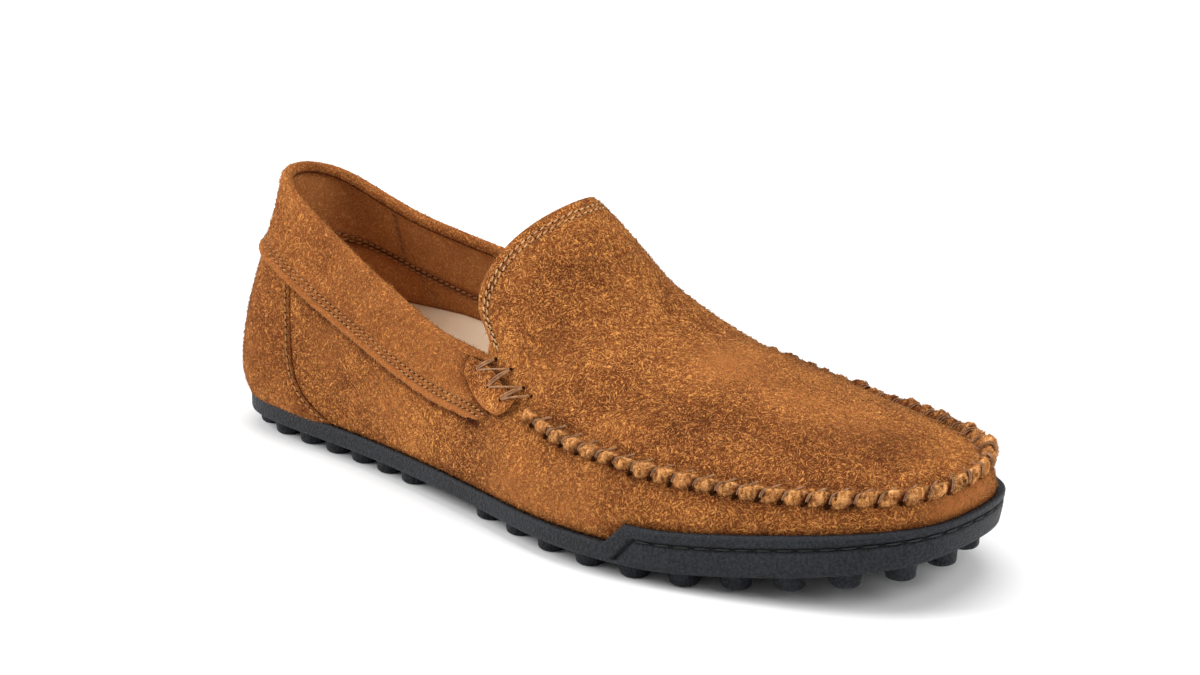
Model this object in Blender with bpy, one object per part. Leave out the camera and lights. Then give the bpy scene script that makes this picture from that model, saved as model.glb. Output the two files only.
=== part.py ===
"""A driving loafer for the right foot: suede moccasin upper on a studded rubber sole.

All sizes are millimetres until a mesh is made. x runs from the back of the heel to the toe, y is negative on the
lateral side and positive on the medial side, z is up from the floor. An empty then puts the origin under the middle.
"""
import math

import bmesh
import bpy
import numpy as np

MM = 0.001

# Driving sizes
SOLE_LENGTH = 285.3
STUD_HEIGHT = 5.0
STUD_RADIUS = 4.9
STUD_SIDES = 8
STUD_ROOT = 2.0
STUD_TAPER = 0.5
PLATE = 5.7
STRIP_LIP = 0.8
STRIP_RIM = 1.6
BUMPER_HEIGHT = 13.6
BUMPER_RIM = 2.9
BUMPER_ROWS = (10.04, 10.33)
GROOVE_DEPTH = 0.8
GROOVE_HALF = 0.9
GROOVE_DROP = 4.6
EDGE_ROUND = 1.6
TOP_ROUND = 0.5
LIP_LEAST = 0.25
LIP_MOST = 0.9
LIP_FALL = 0.15
STRIP_LINE = 0.62
SPRING_START = 205.0
TOE_SPRING = 11.0
SPRING_POWER = 1.4
WALL = 1.5
GAP = 0.3
CUFF_THICK = 1.4
CUFF_TURN = 1.2
COUNTER_GAP = 0.45
COUNTER_THICK = 1.0
TAB_THICK = 1.7
SEAM_REACH = 2.9
SEAM_RISE = 3.0
THROAT = 7
TOE = 16
HEEL_ROWS = 3.0
TOE_ROWS = 13.0
FINE_STEP = 0.25
COARSE_STEP = 0.5
CURVE_SAMPLES = 60
EDGE_SAMPLES = 800
SLOPE_STEP = 1e-3

# Edge of the sole: along, lateral, medial
SOLE_EDGE = (
    (0.0, -2.5, -2.5),
    (4.6, -22.0, 16.5),
    (18.0, -32.2, 26.6),
    (44.0, -35.2, 30.2),
    (68.0, -36.9, 29.6),
    (91.0, -39.8, 29.4),
    (113.0, -43.6, 31.6),
    (133.0, -47.7, 35.2),
    (148.0, -51.2, 39.0),
    (167.0, -54.6, 44.0),
    (190.0, -54.6, 48.8),
    (214.0, -49.7, 51.0),
    (238.0, -41.6, 49.8),
    (259.0, -32.8, 44.0),
    (276.0, -21.0, 33.0),
    (283.6, -9.0, 19.5),
    (SOLE_LENGTH, 4.5, 4.5),
)

# Top of the wall, the topline as far as the throat and then the moccasin seam: along, lateral, medial, and the heights
WALL_TOP = (
    (11.2, -2.0, -2.0, 85.8, 85.8),
    (15.5, -14.4, 9.5, 85.4, 82.4),
    (26.0, -19.3, 14.5, 79.8, 77.6),
    (44.0, -21.5, 18.0, 71.0, 70.6),
    (64.0, -25.8, 22.3, 64.2, 65.2),
    (86.0, -29.7, 27.2, 57.2, 60.2),
    (107.0, -33.2, 31.2, 51.8, 56.2),
    (130.5, -36.7, 34.7, 49.4, 52.4),
    (141.0, -40.0, 38.0, 44.0, 48.0),
    (160.0, -43.3, 41.0, 37.5, 44.0),
    (185.0, -45.3, 43.0, 35.3, 42.0),
    (210.0, -43.0, 43.5, 34.0, 39.2),
    (233.0, -36.8, 41.5, 33.6, 37.9),
    (254.0, -28.3, 36.0, 34.2, 37.8),
    (270.5, -17.8, 27.5, 35.5, 38.0),
    (279.0, -6.5, 16.2, 36.6, 37.9),
    (280.8, 4.5, 4.5, 37.6, 37.6),
)

# Curve of the wall: how far it leaves the foot outwards and upwards, and comes to the top from outside and below
WALL_CURVE = (
    (10.5, 14.0, 3.2, 18.0),
    (10.5, 14.0, 3.2, 18.0),
    (9.0, 14.0, 5.0, 17.0),
    (6.5, 13.0, 6.0, 16.0),
    (4.5, 13.0, 6.0, 15.0),
    (4.0, 13.0, 5.0, 14.0),
    (4.0, 12.0, 5.0, 13.0),
    (4.0, 11.0, 5.5, 12.0),
    (4.0, 10.0, 6.0, 10.0),
    (3.5, 9.0, 6.5, 9.0),
    (3.0, 9.0, 6.5, 8.0),
    (2.0, 10.0, 5.5, 7.5),
    (1.2, 10.0, 5.0, 7.0),
    (1.0, 9.0, 4.0, 6.5),
    (1.0, 8.5, 3.5, 6.0),
    (1.0, 8.0, 3.2, 6.0),
    (1.0, 8.0, 3.0, 6.0),
)

# Crest of the apron from the tongue to the toe: along, across, up, how far the flap swings back, seam handle in and up
APRON_CREST = (
    (133.5, 3.2, 96.0, 28.0, 0.10, 0.53),
    (143.0, 3.2, 88.6, 13.0, 0.14, 0.53),
    (156.0, 3.2, 74.2, 3.0, 0.20, 0.53),
    (175.0, 3.5, 61.2, 0.0, 0.22, 0.54),
    (195.0, 4.0, 55.0, 0.0, 0.24, 0.55),
    (214.0, 4.5, 50.5, 0.0, 0.26, 0.58),
    (231.0, 5.0, 47.5, 0.0, 0.28, 0.60),
    (244.0, 5.0, 45.6, 0.0, 0.30, 0.62),
    (252.0, 5.0, 44.6, 0.0, 0.30, 0.62),
    (256.0, 5.0, 44.2, 0.0, 0.30, 0.62),
)
CREST_HANDLE = 0.5

# Height of the cuff down the wall at each section as far as the throat
CUFF_DROP = (25.5, 25.5, 24.0, 21.5, 20.3, 19.2, 18.0, 16.0, 15.0)

# Footbed: along, thickness at the middle, rise of its cupped edge lateral and medial
FOOTBED = (
    (0.0, 15.5, 6.0, 8.0),
    (60.0, 15.5, 5.0, 9.5),
    (110.0, 13.0, 4.0, 8.0),
    (160.0, 7.5, 3.0, 3.0),
    (215.0, 4.5, 2.0, 2.0),
    (SOLE_LENGTH, 3.0, 1.2, 1.2),
)

COLOURS = {
    "rubber": (0.030, 0.031, 0.036, 0.62),
    "suede": (0.376, 0.130, 0.027, 0.92),
    "suede_light": (0.451, 0.170, 0.040, 0.92),
    "sock": (0.687, 0.546, 0.376, 0.60),
}


# Smooth closed curves through the tables
def closed_slopes(values):
    """Slopes of the smooth closed curve through one value for each whole station."""
    count = len(values)
    system = 4.0 * np.eye(count) + np.roll(np.eye(count), 1, 0) + np.roll(np.eye(count), -1, 0)
    return np.linalg.solve(system, 3.0 * (np.roll(values, -1, 0) - np.roll(values, 1, 0)))


class ClosedCurve:
    """A curve round the shoe. Station 0 is the heel, TOE the toe, and the medial side comes back to 2 * TOE."""

    def __init__(self, lateral, medial):
        self.values = np.array(list(lateral) + list(medial)[-2:0:-1], float)
        self.slopes = closed_slopes(self.values)

    def at(self, station):
        count = len(self.values)
        station = station % count
        low = int(station)
        high = (low + 1) % count
        part = station - low
        start = self.values[low]
        end = self.values[high]
        turn = self.slopes[low] + self.slopes[high] - 2.0 * (end - start)
        bend = 3.0 * (end - start) - 2.0 * self.slopes[low] - self.slopes[high]
        return start + part * (self.slopes[low] + part * (bend + part * turn))

    def slope(self, station):
        return (self.at(station + SLOPE_STEP) - self.at(station - SLOPE_STEP)) / (2.0 * SLOPE_STEP)


EDGE = ClosedCurve([(x, lat) for x, lat, med in SOLE_EDGE], [(x, med) for x, lat, med in SOLE_EDGE])
TOP = ClosedCurve(
    [(x, lat, zl) for x, lat, med, zl, zm in WALL_TOP],
    [(x, med, zm) for x, lat, med, zl, zm in WALL_TOP],
)
CURVE = ClosedCurve(WALL_CURVE, WALL_CURVE)
CREST = ClosedCurve([APRON_CREST[0]] * THROAT + list(APRON_CREST), [APRON_CREST[0]] * THROAT + list(APRON_CREST))
CUFF = ClosedCurve(
    list(CUFF_DROP) + [CUFF_DROP[-1]] * (TOE + 1 - len(CUFF_DROP)),
    list(CUFF_DROP) + [CUFF_DROP[-1]] * (TOE + 1 - len(CUFF_DROP)),
)


def unit(vector):
    return vector / np.linalg.norm(vector)


def row_of(station):
    """The section table's row at a station of either side."""
    station = station % (2 * TOE)
    return min(station, 2 * TOE - station)


def bezier(points, share):
    a, b, c, d = points
    rest = 1.0 - share
    return rest**3 * a + 3.0 * rest**2 * share * b + 3.0 * rest * share**2 * c + share**3 * d


def outward(station):
    along = EDGE.slope(station)
    return unit(np.array([along[1], -along[0], 0.0]))


def spring(x):
    share = max(0.0, (x - SPRING_START) / (SOLE_LENGTH - SPRING_START))
    return TOE_SPRING * share**SPRING_POWER


def sole_low(x):
    return STUD_HEIGHT + spring(x)


def plate_top(x):
    return sole_low(x) + PLATE


def bumper_share(station):
    """0 along the strip, 1 along the toe bumper, and the slant between them."""
    start, full = BUMPER_ROWS
    return min(1.0, max(0.0, (row_of(station) - start) / (full - start)))


def rim_width(station):
    return STRIP_RIM + (BUMPER_RIM - STRIP_RIM) * smooth(row_of(station), THROAT, BUMPER_ROWS[1])


def smooth(value, start, end):
    share = min(1.0, max(0.0, (value - start) / (end - start)))
    return share * share * (3.0 - 2.0 * share)


# The last: wall from the sole to the topline or seam, and apron from the seam to its crest
def foot(station):
    edge = EDGE.at(station)
    point = np.array([edge[0], edge[1], 0.0]) - (rim_width(station) + GAP) * outward(station)
    point[2] = plate_top(edge[0]) + GAP
    return point


def wall(station, share):
    low = foot(station)
    top = TOP.at(station)
    out = outward(station)
    foot_out, foot_up, top_out, top_down = CURVE.at(station)
    up = np.array([0.0, 0.0, 1.0])
    return bezier((low, low + foot_out * out + foot_up * up, top + top_out * out - top_down * up, top), share)


def apron(station, share):
    seam = TOP.at(station)
    x, y, z, flap_back, handle_in, handle_up = CREST.at(station)
    crest = np.array([x, y, z])
    across = crest - seam
    back = np.array([flap_back, 0.0, 0.0])
    first = seam + across * np.array([handle_in, handle_in, handle_up]) - back
    second = crest - across * np.array([0.0, CREST_HANDLE, 0.0])
    return bezier((seam, first, second, crest), share)


def wall_normal(station, share):
    low, high = max(0.0, share - SLOPE_STEP), min(1.0, share + SLOPE_STEP)
    up = wall(station, high) - wall(station, low)
    along = wall(station + SLOPE_STEP, share) - wall(station - SLOPE_STEP, share)
    return unit(np.cross(along, up))


def apron_normal(station, share):
    low, high = max(0.0, share - SLOPE_STEP), min(1.0, share + SLOPE_STEP)
    up = apron(station, high) - apron(station, low)
    along = apron(station + SLOPE_STEP, share) - apron(station - SLOPE_STEP, share)
    return unit(np.cross(along, up))


def down_wall(station, distance):
    """Share of the wall's curve that lies this far below its top, measured along the curve."""
    shares = np.linspace(1.0, 0.0, CURVE_SAMPLES)
    points = np.array([wall(station, share) for share in shares])
    walked = np.concatenate([[0.0], np.cumsum(np.linalg.norm(np.diff(points, axis=0), axis=1))])
    return float(np.interp(distance, walked, shares))


def up_wall(station, height):
    """Share of the wall's curve at a height above the floor."""
    shares = np.linspace(0.0, 1.0, CURVE_SAMPLES)
    heights = np.array([wall(station, share)[2] for share in shares])
    return float(np.interp(height, heights, shares))


# Meshes
def add_object(name, points, faces, finish):
    mesh = bpy.data.meshes.new(name)
    mesh.from_pydata([tuple(float(value) * MM for value in point) for point in points], [], faces)
    body = bpy.data.objects.new(name, mesh)
    bpy.context.collection.objects.link(body)
    red, green, blue, roughness = COLOURS[finish]
    material = bpy.data.materials.new(name)
    material.use_nodes = True
    shader = material.node_tree.nodes["Principled BSDF"]
    shader.inputs["Base Color"].default_value = (red, green, blue, 1.0)
    shader.inputs["Roughness"].default_value = roughness
    mesh.materials.append(material)
    mesh.shade_smooth()
    body.parent = SHOE
    return body


def face_outwards(body):
    work = bmesh.new()
    work.from_mesh(body.data)
    bmesh.ops.recalc_face_normals(work, faces=work.faces)
    work.to_mesh(body.data)
    work.free()


def between(name, inner, outer, finish):
    """A closed solid between two grids of points, joined round their rims."""
    rows, columns = len(inner), len(inner[0])
    points = [point for row in inner for point in row] + [point for row in outer for point in row]
    faces = []
    for layer in (0, rows * columns):
        for row in range(rows - 1):
            for column in range(columns - 1):
                corner = layer + row * columns + column
                faces.append((corner, corner + 1, corner + columns + 1, corner + columns))
    rim = [(0, column) for column in range(columns - 1)]
    rim += [(row, columns - 1) for row in range(rows - 1)]
    rim += [(rows - 1, column) for column in range(columns - 1, 0, -1)]
    rim += [(row, 0) for row in range(rows - 1, 0, -1)]
    loop = [row * columns + column for row, column in rim]
    for start, end in zip(loop, loop[1:] + loop[:1]):
        faces.append((start, end, end + rows * columns, start + rows * columns))
    body = add_object(name, points, faces, finish)
    face_outwards(body)
    return body


def ladder(ring, turned):
    """Faces across a closed ring, from each lateral point to the medial point of the same row."""
    count = len(ring)
    faces = []
    for step in range(count // 2):
        face = [ring[step], ring[step + 1], ring[count - step - 1], ring[(count - step) % count]]
        face = list(dict.fromkeys(face))
        faces.append(tuple(reversed(face)) if turned else tuple(face))
    return faces


def from_rings(name, rings, finish):
    """A closed solid from rings round the shoe, the first and the last of them filled."""
    count = len(rings[0])
    points = [point for ring in rings for point in ring]
    faces = []
    for level in range(len(rings) - 1):
        for step in range(count):
            following = (step + 1) % count
            low, high = level * count, (level + 1) * count
            faces.append((low + step, low + following, high + following, high + step))
    faces += ladder(list(range(count)), True)
    faces += ladder(list(range(len(points) - count, len(points))), False)
    body = add_object(name, points, faces, finish)
    face_outwards(body)
    return body


def stations(extra=()):
    """Stations round the shoe, closer together where heel and toe turn."""
    heel = np.arange(0.0, HEEL_ROWS, FINE_STEP)
    side = np.arange(HEEL_ROWS, TOE_ROWS, COARSE_STEP)
    toe = np.arange(TOE_ROWS, TOE + FINE_STEP, FINE_STEP)
    rows = sorted(set(np.concatenate([heel, side, toe, extra]).tolist()))
    return rows + [2.0 * TOE - row for row in rows[-2:0:-1]]


# Outsole: plate, strip, bumper with its groove, and studs
def sole_ring_points(station):
    x, y = EDGE.at(station)
    out = outward(station)
    low = sole_low(x)
    share = bumper_share(station)
    high = low + PLATE + STRIP_LIP + share * (BUMPER_HEIGHT - PLATE - STRIP_LIP)
    groove = low + STRIP_LINE * (high - low) if share < 1.0 else high - GROOVE_DROP
    depth = GROOVE_DEPTH * share
    touch = wall(station, up_wall(station, high))
    inner_top = (touch - np.array([x, y, touch[2]])) @ out + GAP
    profile = (
        (-EDGE_ROUND, low),
        (0.0, low + EDGE_ROUND),
        (0.0, groove - GROOVE_HALF),
        (-depth, groove),
        (0.0, groove + GROOVE_HALF),
        (0.0, high - TOP_ROUND),
        (max(inner_top + LIP_LEAST, -LIP_MOST), high),
        (inner_top, high - LIP_FALL),
        (-rim_width(station), plate_top(x)),
    )
    return [np.array([x, y, 0.0]) + offset * out + np.array([0.0, 0.0, z]) for offset, z in profile]


HEEL_STUDS = dict(insets=(7.8, 21.0), spacing=13.3, reach=(-10.0, 92.0))
FOREFOOT_STUDS = dict(insets=(8.2, 24.0, 39.5), spacing=16.2, reach=(131.0, 300.0))
STUD_CLEARANCE = 12.0
STUD_ROW_SLACK = 0.3
TOE_STUD_ROWS = (12.0, 15.0)
TOE_STUD_INSET = 4.0


def stud_centres(insets, spacing, reach):
    """Studs evenly spaced in rows that follow the sole's edge, each row further in."""
    fine = np.linspace(0.0, 2.0 * TOE, EDGE_SAMPLES, endpoint=False)
    if reach[0] < 0.0:
        fine = fine - TOE
    edge = np.array([EDGE.at(station) for station in fine])
    sides = np.array([outward(station)[:2] for station in fine])
    toe_turn = np.array([smooth(row_of(station), *TOE_STUD_ROWS) for station in fine])
    centres = []
    for inset in insets:
        row = edge - (inset + TOE_STUD_INSET * toe_turn)[:, None] * sides
        depth = np.array([np.linalg.norm(edge - point, axis=1).min() for point in row])
        row = row[(row[:, 0] > reach[0]) & (row[:, 0] < reach[1]) & (depth > inset - STUD_ROW_SLACK)]
        walked = np.concatenate([[0.0], np.cumsum(np.linalg.norm(np.diff(row, axis=0), axis=1))])
        for place in np.linspace(0.0, walked[-1], 1 + round(walked[-1] / spacing)):
            point = np.array([np.interp(place, walked, row[:, axis]) for axis in (0, 1)])
            if all(np.linalg.norm(point - other) > STUD_CLEARANCE for other in centres):
                centres.append(point)
    return centres


def add_outsole():
    rings = list(zip(*[sole_ring_points(station) for station in stations(BUMPER_ROWS)]))
    body = from_rings("outsole", rings, "rubber")
    work = bmesh.new()
    for x, y in stud_centres(**HEEL_STUDS) + stud_centres(**FOREFOOT_STUDS):
        height = STUD_HEIGHT + STUD_ROOT
        made = bmesh.ops.create_cone(
            work,
            cap_ends=True,
            segments=STUD_SIDES,
            radius1=(STUD_RADIUS - STUD_TAPER) * MM,
            radius2=STUD_RADIUS * MM,
            depth=height * MM,
        )
        bmesh.ops.translate(work, verts=made["verts"], vec=(x * MM, y * MM, (spring(x) + height / 2.0) * MM))
    mesh = bpy.data.meshes.new("studs")
    work.to_mesh(mesh)
    work.free()
    studs = bpy.data.objects.new("studs", mesh)
    bpy.context.collection.objects.link(studs)
    studs.parent = SHOE
    studs.hide_render = True
    studs.display_type = "WIRE"
    join = body.modifiers.new("studs", "BOOLEAN")
    join.operation = "UNION"
    join.object = studs
    join.solver = "EXACT"


# Insole: a cushioned footbed that fills the shell's floor and cups up its sides
INSOLE_GAP = 0.5
SIDE_SHARES = (0.0, 0.5, 1.0)
CUP_SHAPE = ((3.0, 0.8), (12.0, 0.1))


def footbed_sizes(station):
    x = EDGE.at(station)[0]
    along = [row[0] for row in FOOTBED]
    side = 2 if station % (2 * TOE) <= TOE else 3
    thick = np.interp(x, along, [row[1] for row in FOOTBED])
    both = [(row[2] + row[3]) / 2.0 for row in FOOTBED]
    share = min(1.0, row_of(station))
    rise = share * np.interp(x, along, [row[side] for row in FOOTBED]) + (1.0 - share) * np.interp(x, along, both)
    return plate_top(x), thick, rise


def inside_wall(station, height):
    share = up_wall(station, height)
    return wall(station, share) - (WALL + INSOLE_GAP) * wall_normal(station, share)


def insole_points(station):
    base, thick, rise = footbed_sizes(station)
    heights = [base + GAP + share * (thick + rise - GAP) for share in SIDE_SHARES]
    points = [inside_wall(station, height) for height in heights]
    for point, height in zip(points, heights):
        point[2] = height
    out = outward(station)
    rim = points[-1]
    for inset, lift in CUP_SHAPE:
        point = rim - inset * out
        point[2] = base + thick + lift * rise
        points.append(point)
    return points


def add_insole():
    around = np.arange(0.0, 2.0 * TOE, COARSE_STEP)
    from_rings("insole", list(zip(*[insole_points(station) for station in around])), "sock")


# Upper: wall and apron as one shell, open at the collar and underneath
WALL_SHARES = (0.0, 0.09, 0.22, 0.4, 0.6, 0.8, 1.0)
APRON_SHARES = (0.11, 0.26, 0.43, 0.6, 0.76, 0.9)


def add_upper():
    points, faces = [], []
    ribs = {}
    crests = {}
    round_shoe = stations()
    for station in round_shoe:
        row = row_of(station)
        rib = list(range(len(points), len(points) + len(WALL_SHARES)))
        points += [wall(station, share) for share in WALL_SHARES]
        if row >= THROAT:
            rib += list(range(len(points), len(points) + len(APRON_SHARES)))
            points += [apron(station, share) for share in APRON_SHARES]
            if row not in crests:
                crests[row] = len(points)
                points.append(apron(station, 1.0))
            rib.append(crests[row])
        ribs[station] = rib
    for station, following in zip(round_shoe, round_shoe[1:] + round_shoe[:1]):
        one, two = ribs[station], ribs[following]
        for low in range(min(len(one), len(two)) - 1):
            corners = (one[low], two[low], two[low + 1], one[low + 1])
            faces.append(tuple(dict.fromkeys(corners)))
    body = add_object("upper", points, faces, "suede")
    thicken = body.modifiers.new("wall", "SOLIDIFY")
    thicken.thickness = WALL * MM
    thicken.offset = -1.0
    thicken.use_even_offset = True
    thicken.thickness_clamp = 1.0


# Overlays cut from the upper's own wall
EAR = dict(row=7.5, half_rows=0.78, middle=3.6, half_height=7.8)
CUFF_CORNER = 0.36
CUFF_LAST_ROW = 6.5
CUFF_END_ROW = 6.7
CUFF_SHARES = (1.0, 0.7, 0.4, 0.12)
CUFF_TURNS = (0.0, 60.0, 120.0, 180.0)
TAB_SPAN = (-24.0, 80.0)
TAB_ROWS = 9
TAB_COLUMNS = 7
EAR_GAP = 0.1
COUNTER_EDGE = ((0.0, 3.45), (0.12, 3.06), (0.3, 2.8), (0.6, 2.6), (1.0, 2.46))
COUNTER_SHARES = (0.0, 0.09, 0.19, 0.3, 0.44, 0.6, 0.8, 1.0)
COUNTER_COLUMNS = 23
COUNTER_CLEAR = 0.6
SEAM_ENDS = 8.45
SEAM_STATIONS = 41
SEAM_PARTS = (-1.0, -0.7, 0.0, 0.7, 1.0)
SEAM_EDGE = 0.3
SEAM_SHARE = 0.1


def on_wall(station, down, offset):
    share = down_wall(station, down)
    return wall(station, share) + offset * wall_normal(station, share)


def ear_half(down):
    """Half the ear's width in rows, at a distance below the wall's top."""
    share = (down - EAR["middle"]) / EAR["half_height"]
    return EAR["half_rows"] * math.sqrt(max(0.0, 1.0 - share * share))


def cuff_end(down):
    """Row where the cuff stops, in front of which the ear lies."""
    return EAR["row"] - max(ear_half(down), CUFF_CORNER) - EAR_GAP


def cuff_profile(station, is_end, offset):
    """Points from the cuff's lower edge up the outside, over the top and down the inside."""
    def place(down):
        return math.copysign(cuff_end(down), station) if is_end else station

    drop = float(CUFF.at(station))
    points = [on_wall(place(share * drop), share * drop, offset) for share in CUFF_SHARES]
    here = place(0.0)
    out = wall_normal(here, 1.0)
    top = wall(here, 1.0)
    rise = unit(top - wall(here, 1.0 - SLOPE_STEP))
    middle = top - 0.5 * WALL * out
    radius = 0.5 * WALL + offset
    for turn in CUFF_TURNS:
        angle = math.radians(turn)
        points.append(middle + radius * (math.cos(angle) * out + math.sin(angle) * rise))
    points.append(on_wall(here, CUFF_TURN, -WALL - offset))
    return points


def add_cuff():
    sides = [row for row in stations() if row <= CUFF_LAST_ROW]
    along = [-row for row in sides[:0:-1]] + sides
    rows = [(-CUFF_END_ROW, True)] + [(row, False) for row in along] + [(CUFF_END_ROW, True)]
    grids = []
    for offset in (GAP, GAP + CUFF_THICK):
        grids.append([cuff_profile(station, is_end, offset) for station, is_end in rows])
    between("collar_cuff", grids[0], grids[1], "suede_light")


def add_counter():
    shares = [share for share, row in COUNTER_EDGE]
    edges = [row for share, row in COUNTER_EDGE]
    grids = ([], [])
    for part in np.linspace(-1.0, 1.0, COUNTER_COLUMNS):
        rows = ([], [])
        for share in COUNTER_SHARES:
            station = part * float(np.interp(share, shares, edges))
            x = EDGE.at(station)[0]
            low = up_wall(station, plate_top(x) + STRIP_LIP + COUNTER_CLEAR)
            high = down_wall(station, float(CUFF.at(station)) + COUNTER_CLEAR)
            at = low + share * (high - low)
            for row, offset in zip(rows, (COUNTER_GAP, COUNTER_GAP + COUNTER_THICK)):
                row.append(wall(station, at) + offset * wall_normal(station, at))
        for grid, row in zip(grids, rows):
            grid.append(row)
    between("heel_counter", grids[0], grids[1], "suede")


def add_tab(name, side):
    grids = ([], [])
    for down in EAR["middle"] + EAR["half_height"] * np.sin(np.radians(np.linspace(*TAB_SPAN, TAB_ROWS))):
        rows = ([], [])
        for part in np.linspace(-1.0, 1.0, TAB_COLUMNS):
            station = side * (EAR["row"] + part * ear_half(down))
            for row, offset in zip(rows, (GAP, GAP + TAB_THICK)):
                row.append(on_wall(station, down, offset))
        for grid, row in zip(grids, rows):
            grid.append(row)
    between(name, grids[0], grids[1], "suede_light")


def seam_points(station):
    """Under and outer side of the gathered roll across the seam, from the wall to the apron."""
    under, over = [], []
    top = TOP.at(station)
    wall_out = wall_normal(station, 1.0)
    apron_out = apron_normal(station, SLOPE_STEP)
    length = np.linalg.norm(apron(station, SEAM_SHARE) - top)
    for part in SEAM_PARTS:
        if part < 0.0:
            point = on_wall(station, -part * SEAM_REACH, 0.0)
        else:
            point = apron(station, SEAM_SHARE * part * SEAM_REACH / length)
        lean = 0.5 + 0.5 * part
        out = unit((1.0 - lean) * wall_out + lean * apron_out)
        under.append(point + GAP * out)
        over.append(point + (GAP + SEAM_EDGE + SEAM_RISE * math.sqrt(1.0 - part * part)) * out)
    return under, over


def add_moc_seam():
    pairs = [seam_points(station) for station in np.linspace(SEAM_ENDS, 2 * TOE - SEAM_ENDS, SEAM_STATIONS)]
    between("moc_seam", [under for under, over in pairs], [over for under, over in pairs], "suede_light")


def centre_origin():
    """Puts the origin under the middle of the shoe's box, at the floor."""
    corners = [
        vertex.co for body in SHOE.children if not body.hide_render for vertex in body.data.vertices
    ]
    for axis in (0, 1):
        values = [corner[axis] for corner in corners]
        SHOE.location[axis] = -(min(values) + max(values)) / 2.0


for old in list(bpy.data.objects):
    bpy.data.objects.remove(old)
SHOE = bpy.data.objects.new("shoe", None)
bpy.context.collection.objects.link(SHOE)
add_outsole()
add_insole()
add_upper()
add_cuff()
add_counter()
add_tab("vamp_tab_lateral", 1.0)
add_tab("vamp_tab_medial", -1.0)
add_moc_seam()
centre_origin()
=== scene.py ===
"""Looks of a driving loafer for the right foot: tan suede moccasin on a studded rubber sole.

Sizes are millimetres in the shoe's own frame: x from the back of the sole to the toe, y negative on
the lateral side and positive on the medial side, z up from the floor. new_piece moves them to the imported
frame, in metres.
"""

import math

import bpy
import numpy as np
from mathutils import Matrix, Vector, noise


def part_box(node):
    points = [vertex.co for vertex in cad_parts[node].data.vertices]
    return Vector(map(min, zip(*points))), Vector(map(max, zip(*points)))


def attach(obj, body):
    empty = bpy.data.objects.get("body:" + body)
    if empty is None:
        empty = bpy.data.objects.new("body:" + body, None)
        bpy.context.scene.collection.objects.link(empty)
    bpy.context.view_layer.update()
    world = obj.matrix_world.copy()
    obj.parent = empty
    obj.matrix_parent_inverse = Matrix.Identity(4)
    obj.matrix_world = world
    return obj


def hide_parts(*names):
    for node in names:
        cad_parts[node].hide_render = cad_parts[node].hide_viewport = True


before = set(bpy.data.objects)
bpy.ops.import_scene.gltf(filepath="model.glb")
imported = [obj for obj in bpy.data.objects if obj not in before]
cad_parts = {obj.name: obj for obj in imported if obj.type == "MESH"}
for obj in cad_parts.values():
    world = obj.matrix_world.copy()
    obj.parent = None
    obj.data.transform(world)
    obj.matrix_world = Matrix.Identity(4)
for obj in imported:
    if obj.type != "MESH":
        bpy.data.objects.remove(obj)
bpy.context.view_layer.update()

MM = 0.001
SEED = 7

# Sizes of the last and the sole, as in the solids
SOLE_LENGTH = 285.3
STUD_HEIGHT = 5.0
PLATE = 5.7
STRIP_LIP = 0.8
STRIP_RIM = 1.6
BUMPER_HEIGHT = 13.6
BUMPER_RIM = 2.9
BUMPER_ROWS = (10.04, 10.33)
GROOVE_DEPTH = 1.0
GROOVE_HALF = 0.65
GROOVE_DROP = 4.6
SPRING_START = 205.0
TOE_SPRING = 11.0
SPRING_POWER = 1.4
WALL = 1.5
GAP = 0.3
CUFF_THICK = 1.4
COUNTER_GAP = 0.45
COUNTER_THICK = 1.0
TAB_THICK = 1.7
SEAM_REACH = 2.75
SEAM_RISE = 3.0
THROAT = 7
TOE = 16
CREST_HANDLE = 0.5
BELOW_CREST = 0.98
FLAP_SWAY = 3.7
FLAP_SWAY_AT = 0.11
FLAP_SWAY_HALF = 0.085
FLAP_SWAY_ROWS = 1.6
SLOPE_STEP = 1e-3
CURVE_SAMPLES = 60

# Edge of the sole: along, lateral, medial
SOLE_EDGE = (
    (0.0, -2.5, -2.5),
    (4.6, -22.0, 16.5),
    (18.0, -32.2, 26.6),
    (44.0, -35.2, 30.2),
    (68.0, -36.9, 29.6),
    (91.0, -39.8, 29.4),
    (113.0, -43.6, 31.6),
    (133.0, -47.7, 35.2),
    (148.0, -51.2, 39.0),
    (167.0, -54.6, 44.0),
    (190.0, -54.6, 48.8),
    (214.0, -49.7, 51.0),
    (238.0, -41.6, 49.8),
    (259.0, -32.8, 44.0),
    (276.0, -21.0, 33.0),
    (283.6, -9.0, 19.5),
    (SOLE_LENGTH, 4.5, 4.5),
)

# Top of the wall, the topline as far as the throat and then the seam: along, lateral, medial, heights
WALL_TOP = (
    (11.2, -2.0, -2.0, 85.8, 85.8),
    (15.5, -14.4, 9.5, 85.4, 82.4),
    (26.0, -19.3, 14.5, 79.8, 77.6),
    (44.0, -21.5, 18.0, 71.0, 70.6),
    (64.0, -25.8, 22.3, 64.2, 65.2),
    (86.0, -29.7, 27.2, 57.2, 60.2),
    (107.0, -33.2, 31.2, 51.8, 56.2),
    (130.5, -36.7, 34.7, 49.4, 52.4),
    (141.0, -40.0, 38.0, 44.0, 48.0),
    (160.0, -43.3, 41.0, 37.5, 44.0),
    (185.0, -45.3, 43.0, 35.3, 42.0),
    (210.0, -43.0, 43.5, 34.0, 39.2),
    (233.0, -36.8, 41.5, 33.6, 37.9),
    (254.0, -28.3, 36.0, 34.2, 37.8),
    (270.5, -17.8, 27.5, 35.5, 38.0),
    (279.0, -6.5, 16.2, 36.6, 37.9),
    (280.8, 4.5, 4.5, 37.6, 37.6),
)

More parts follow.
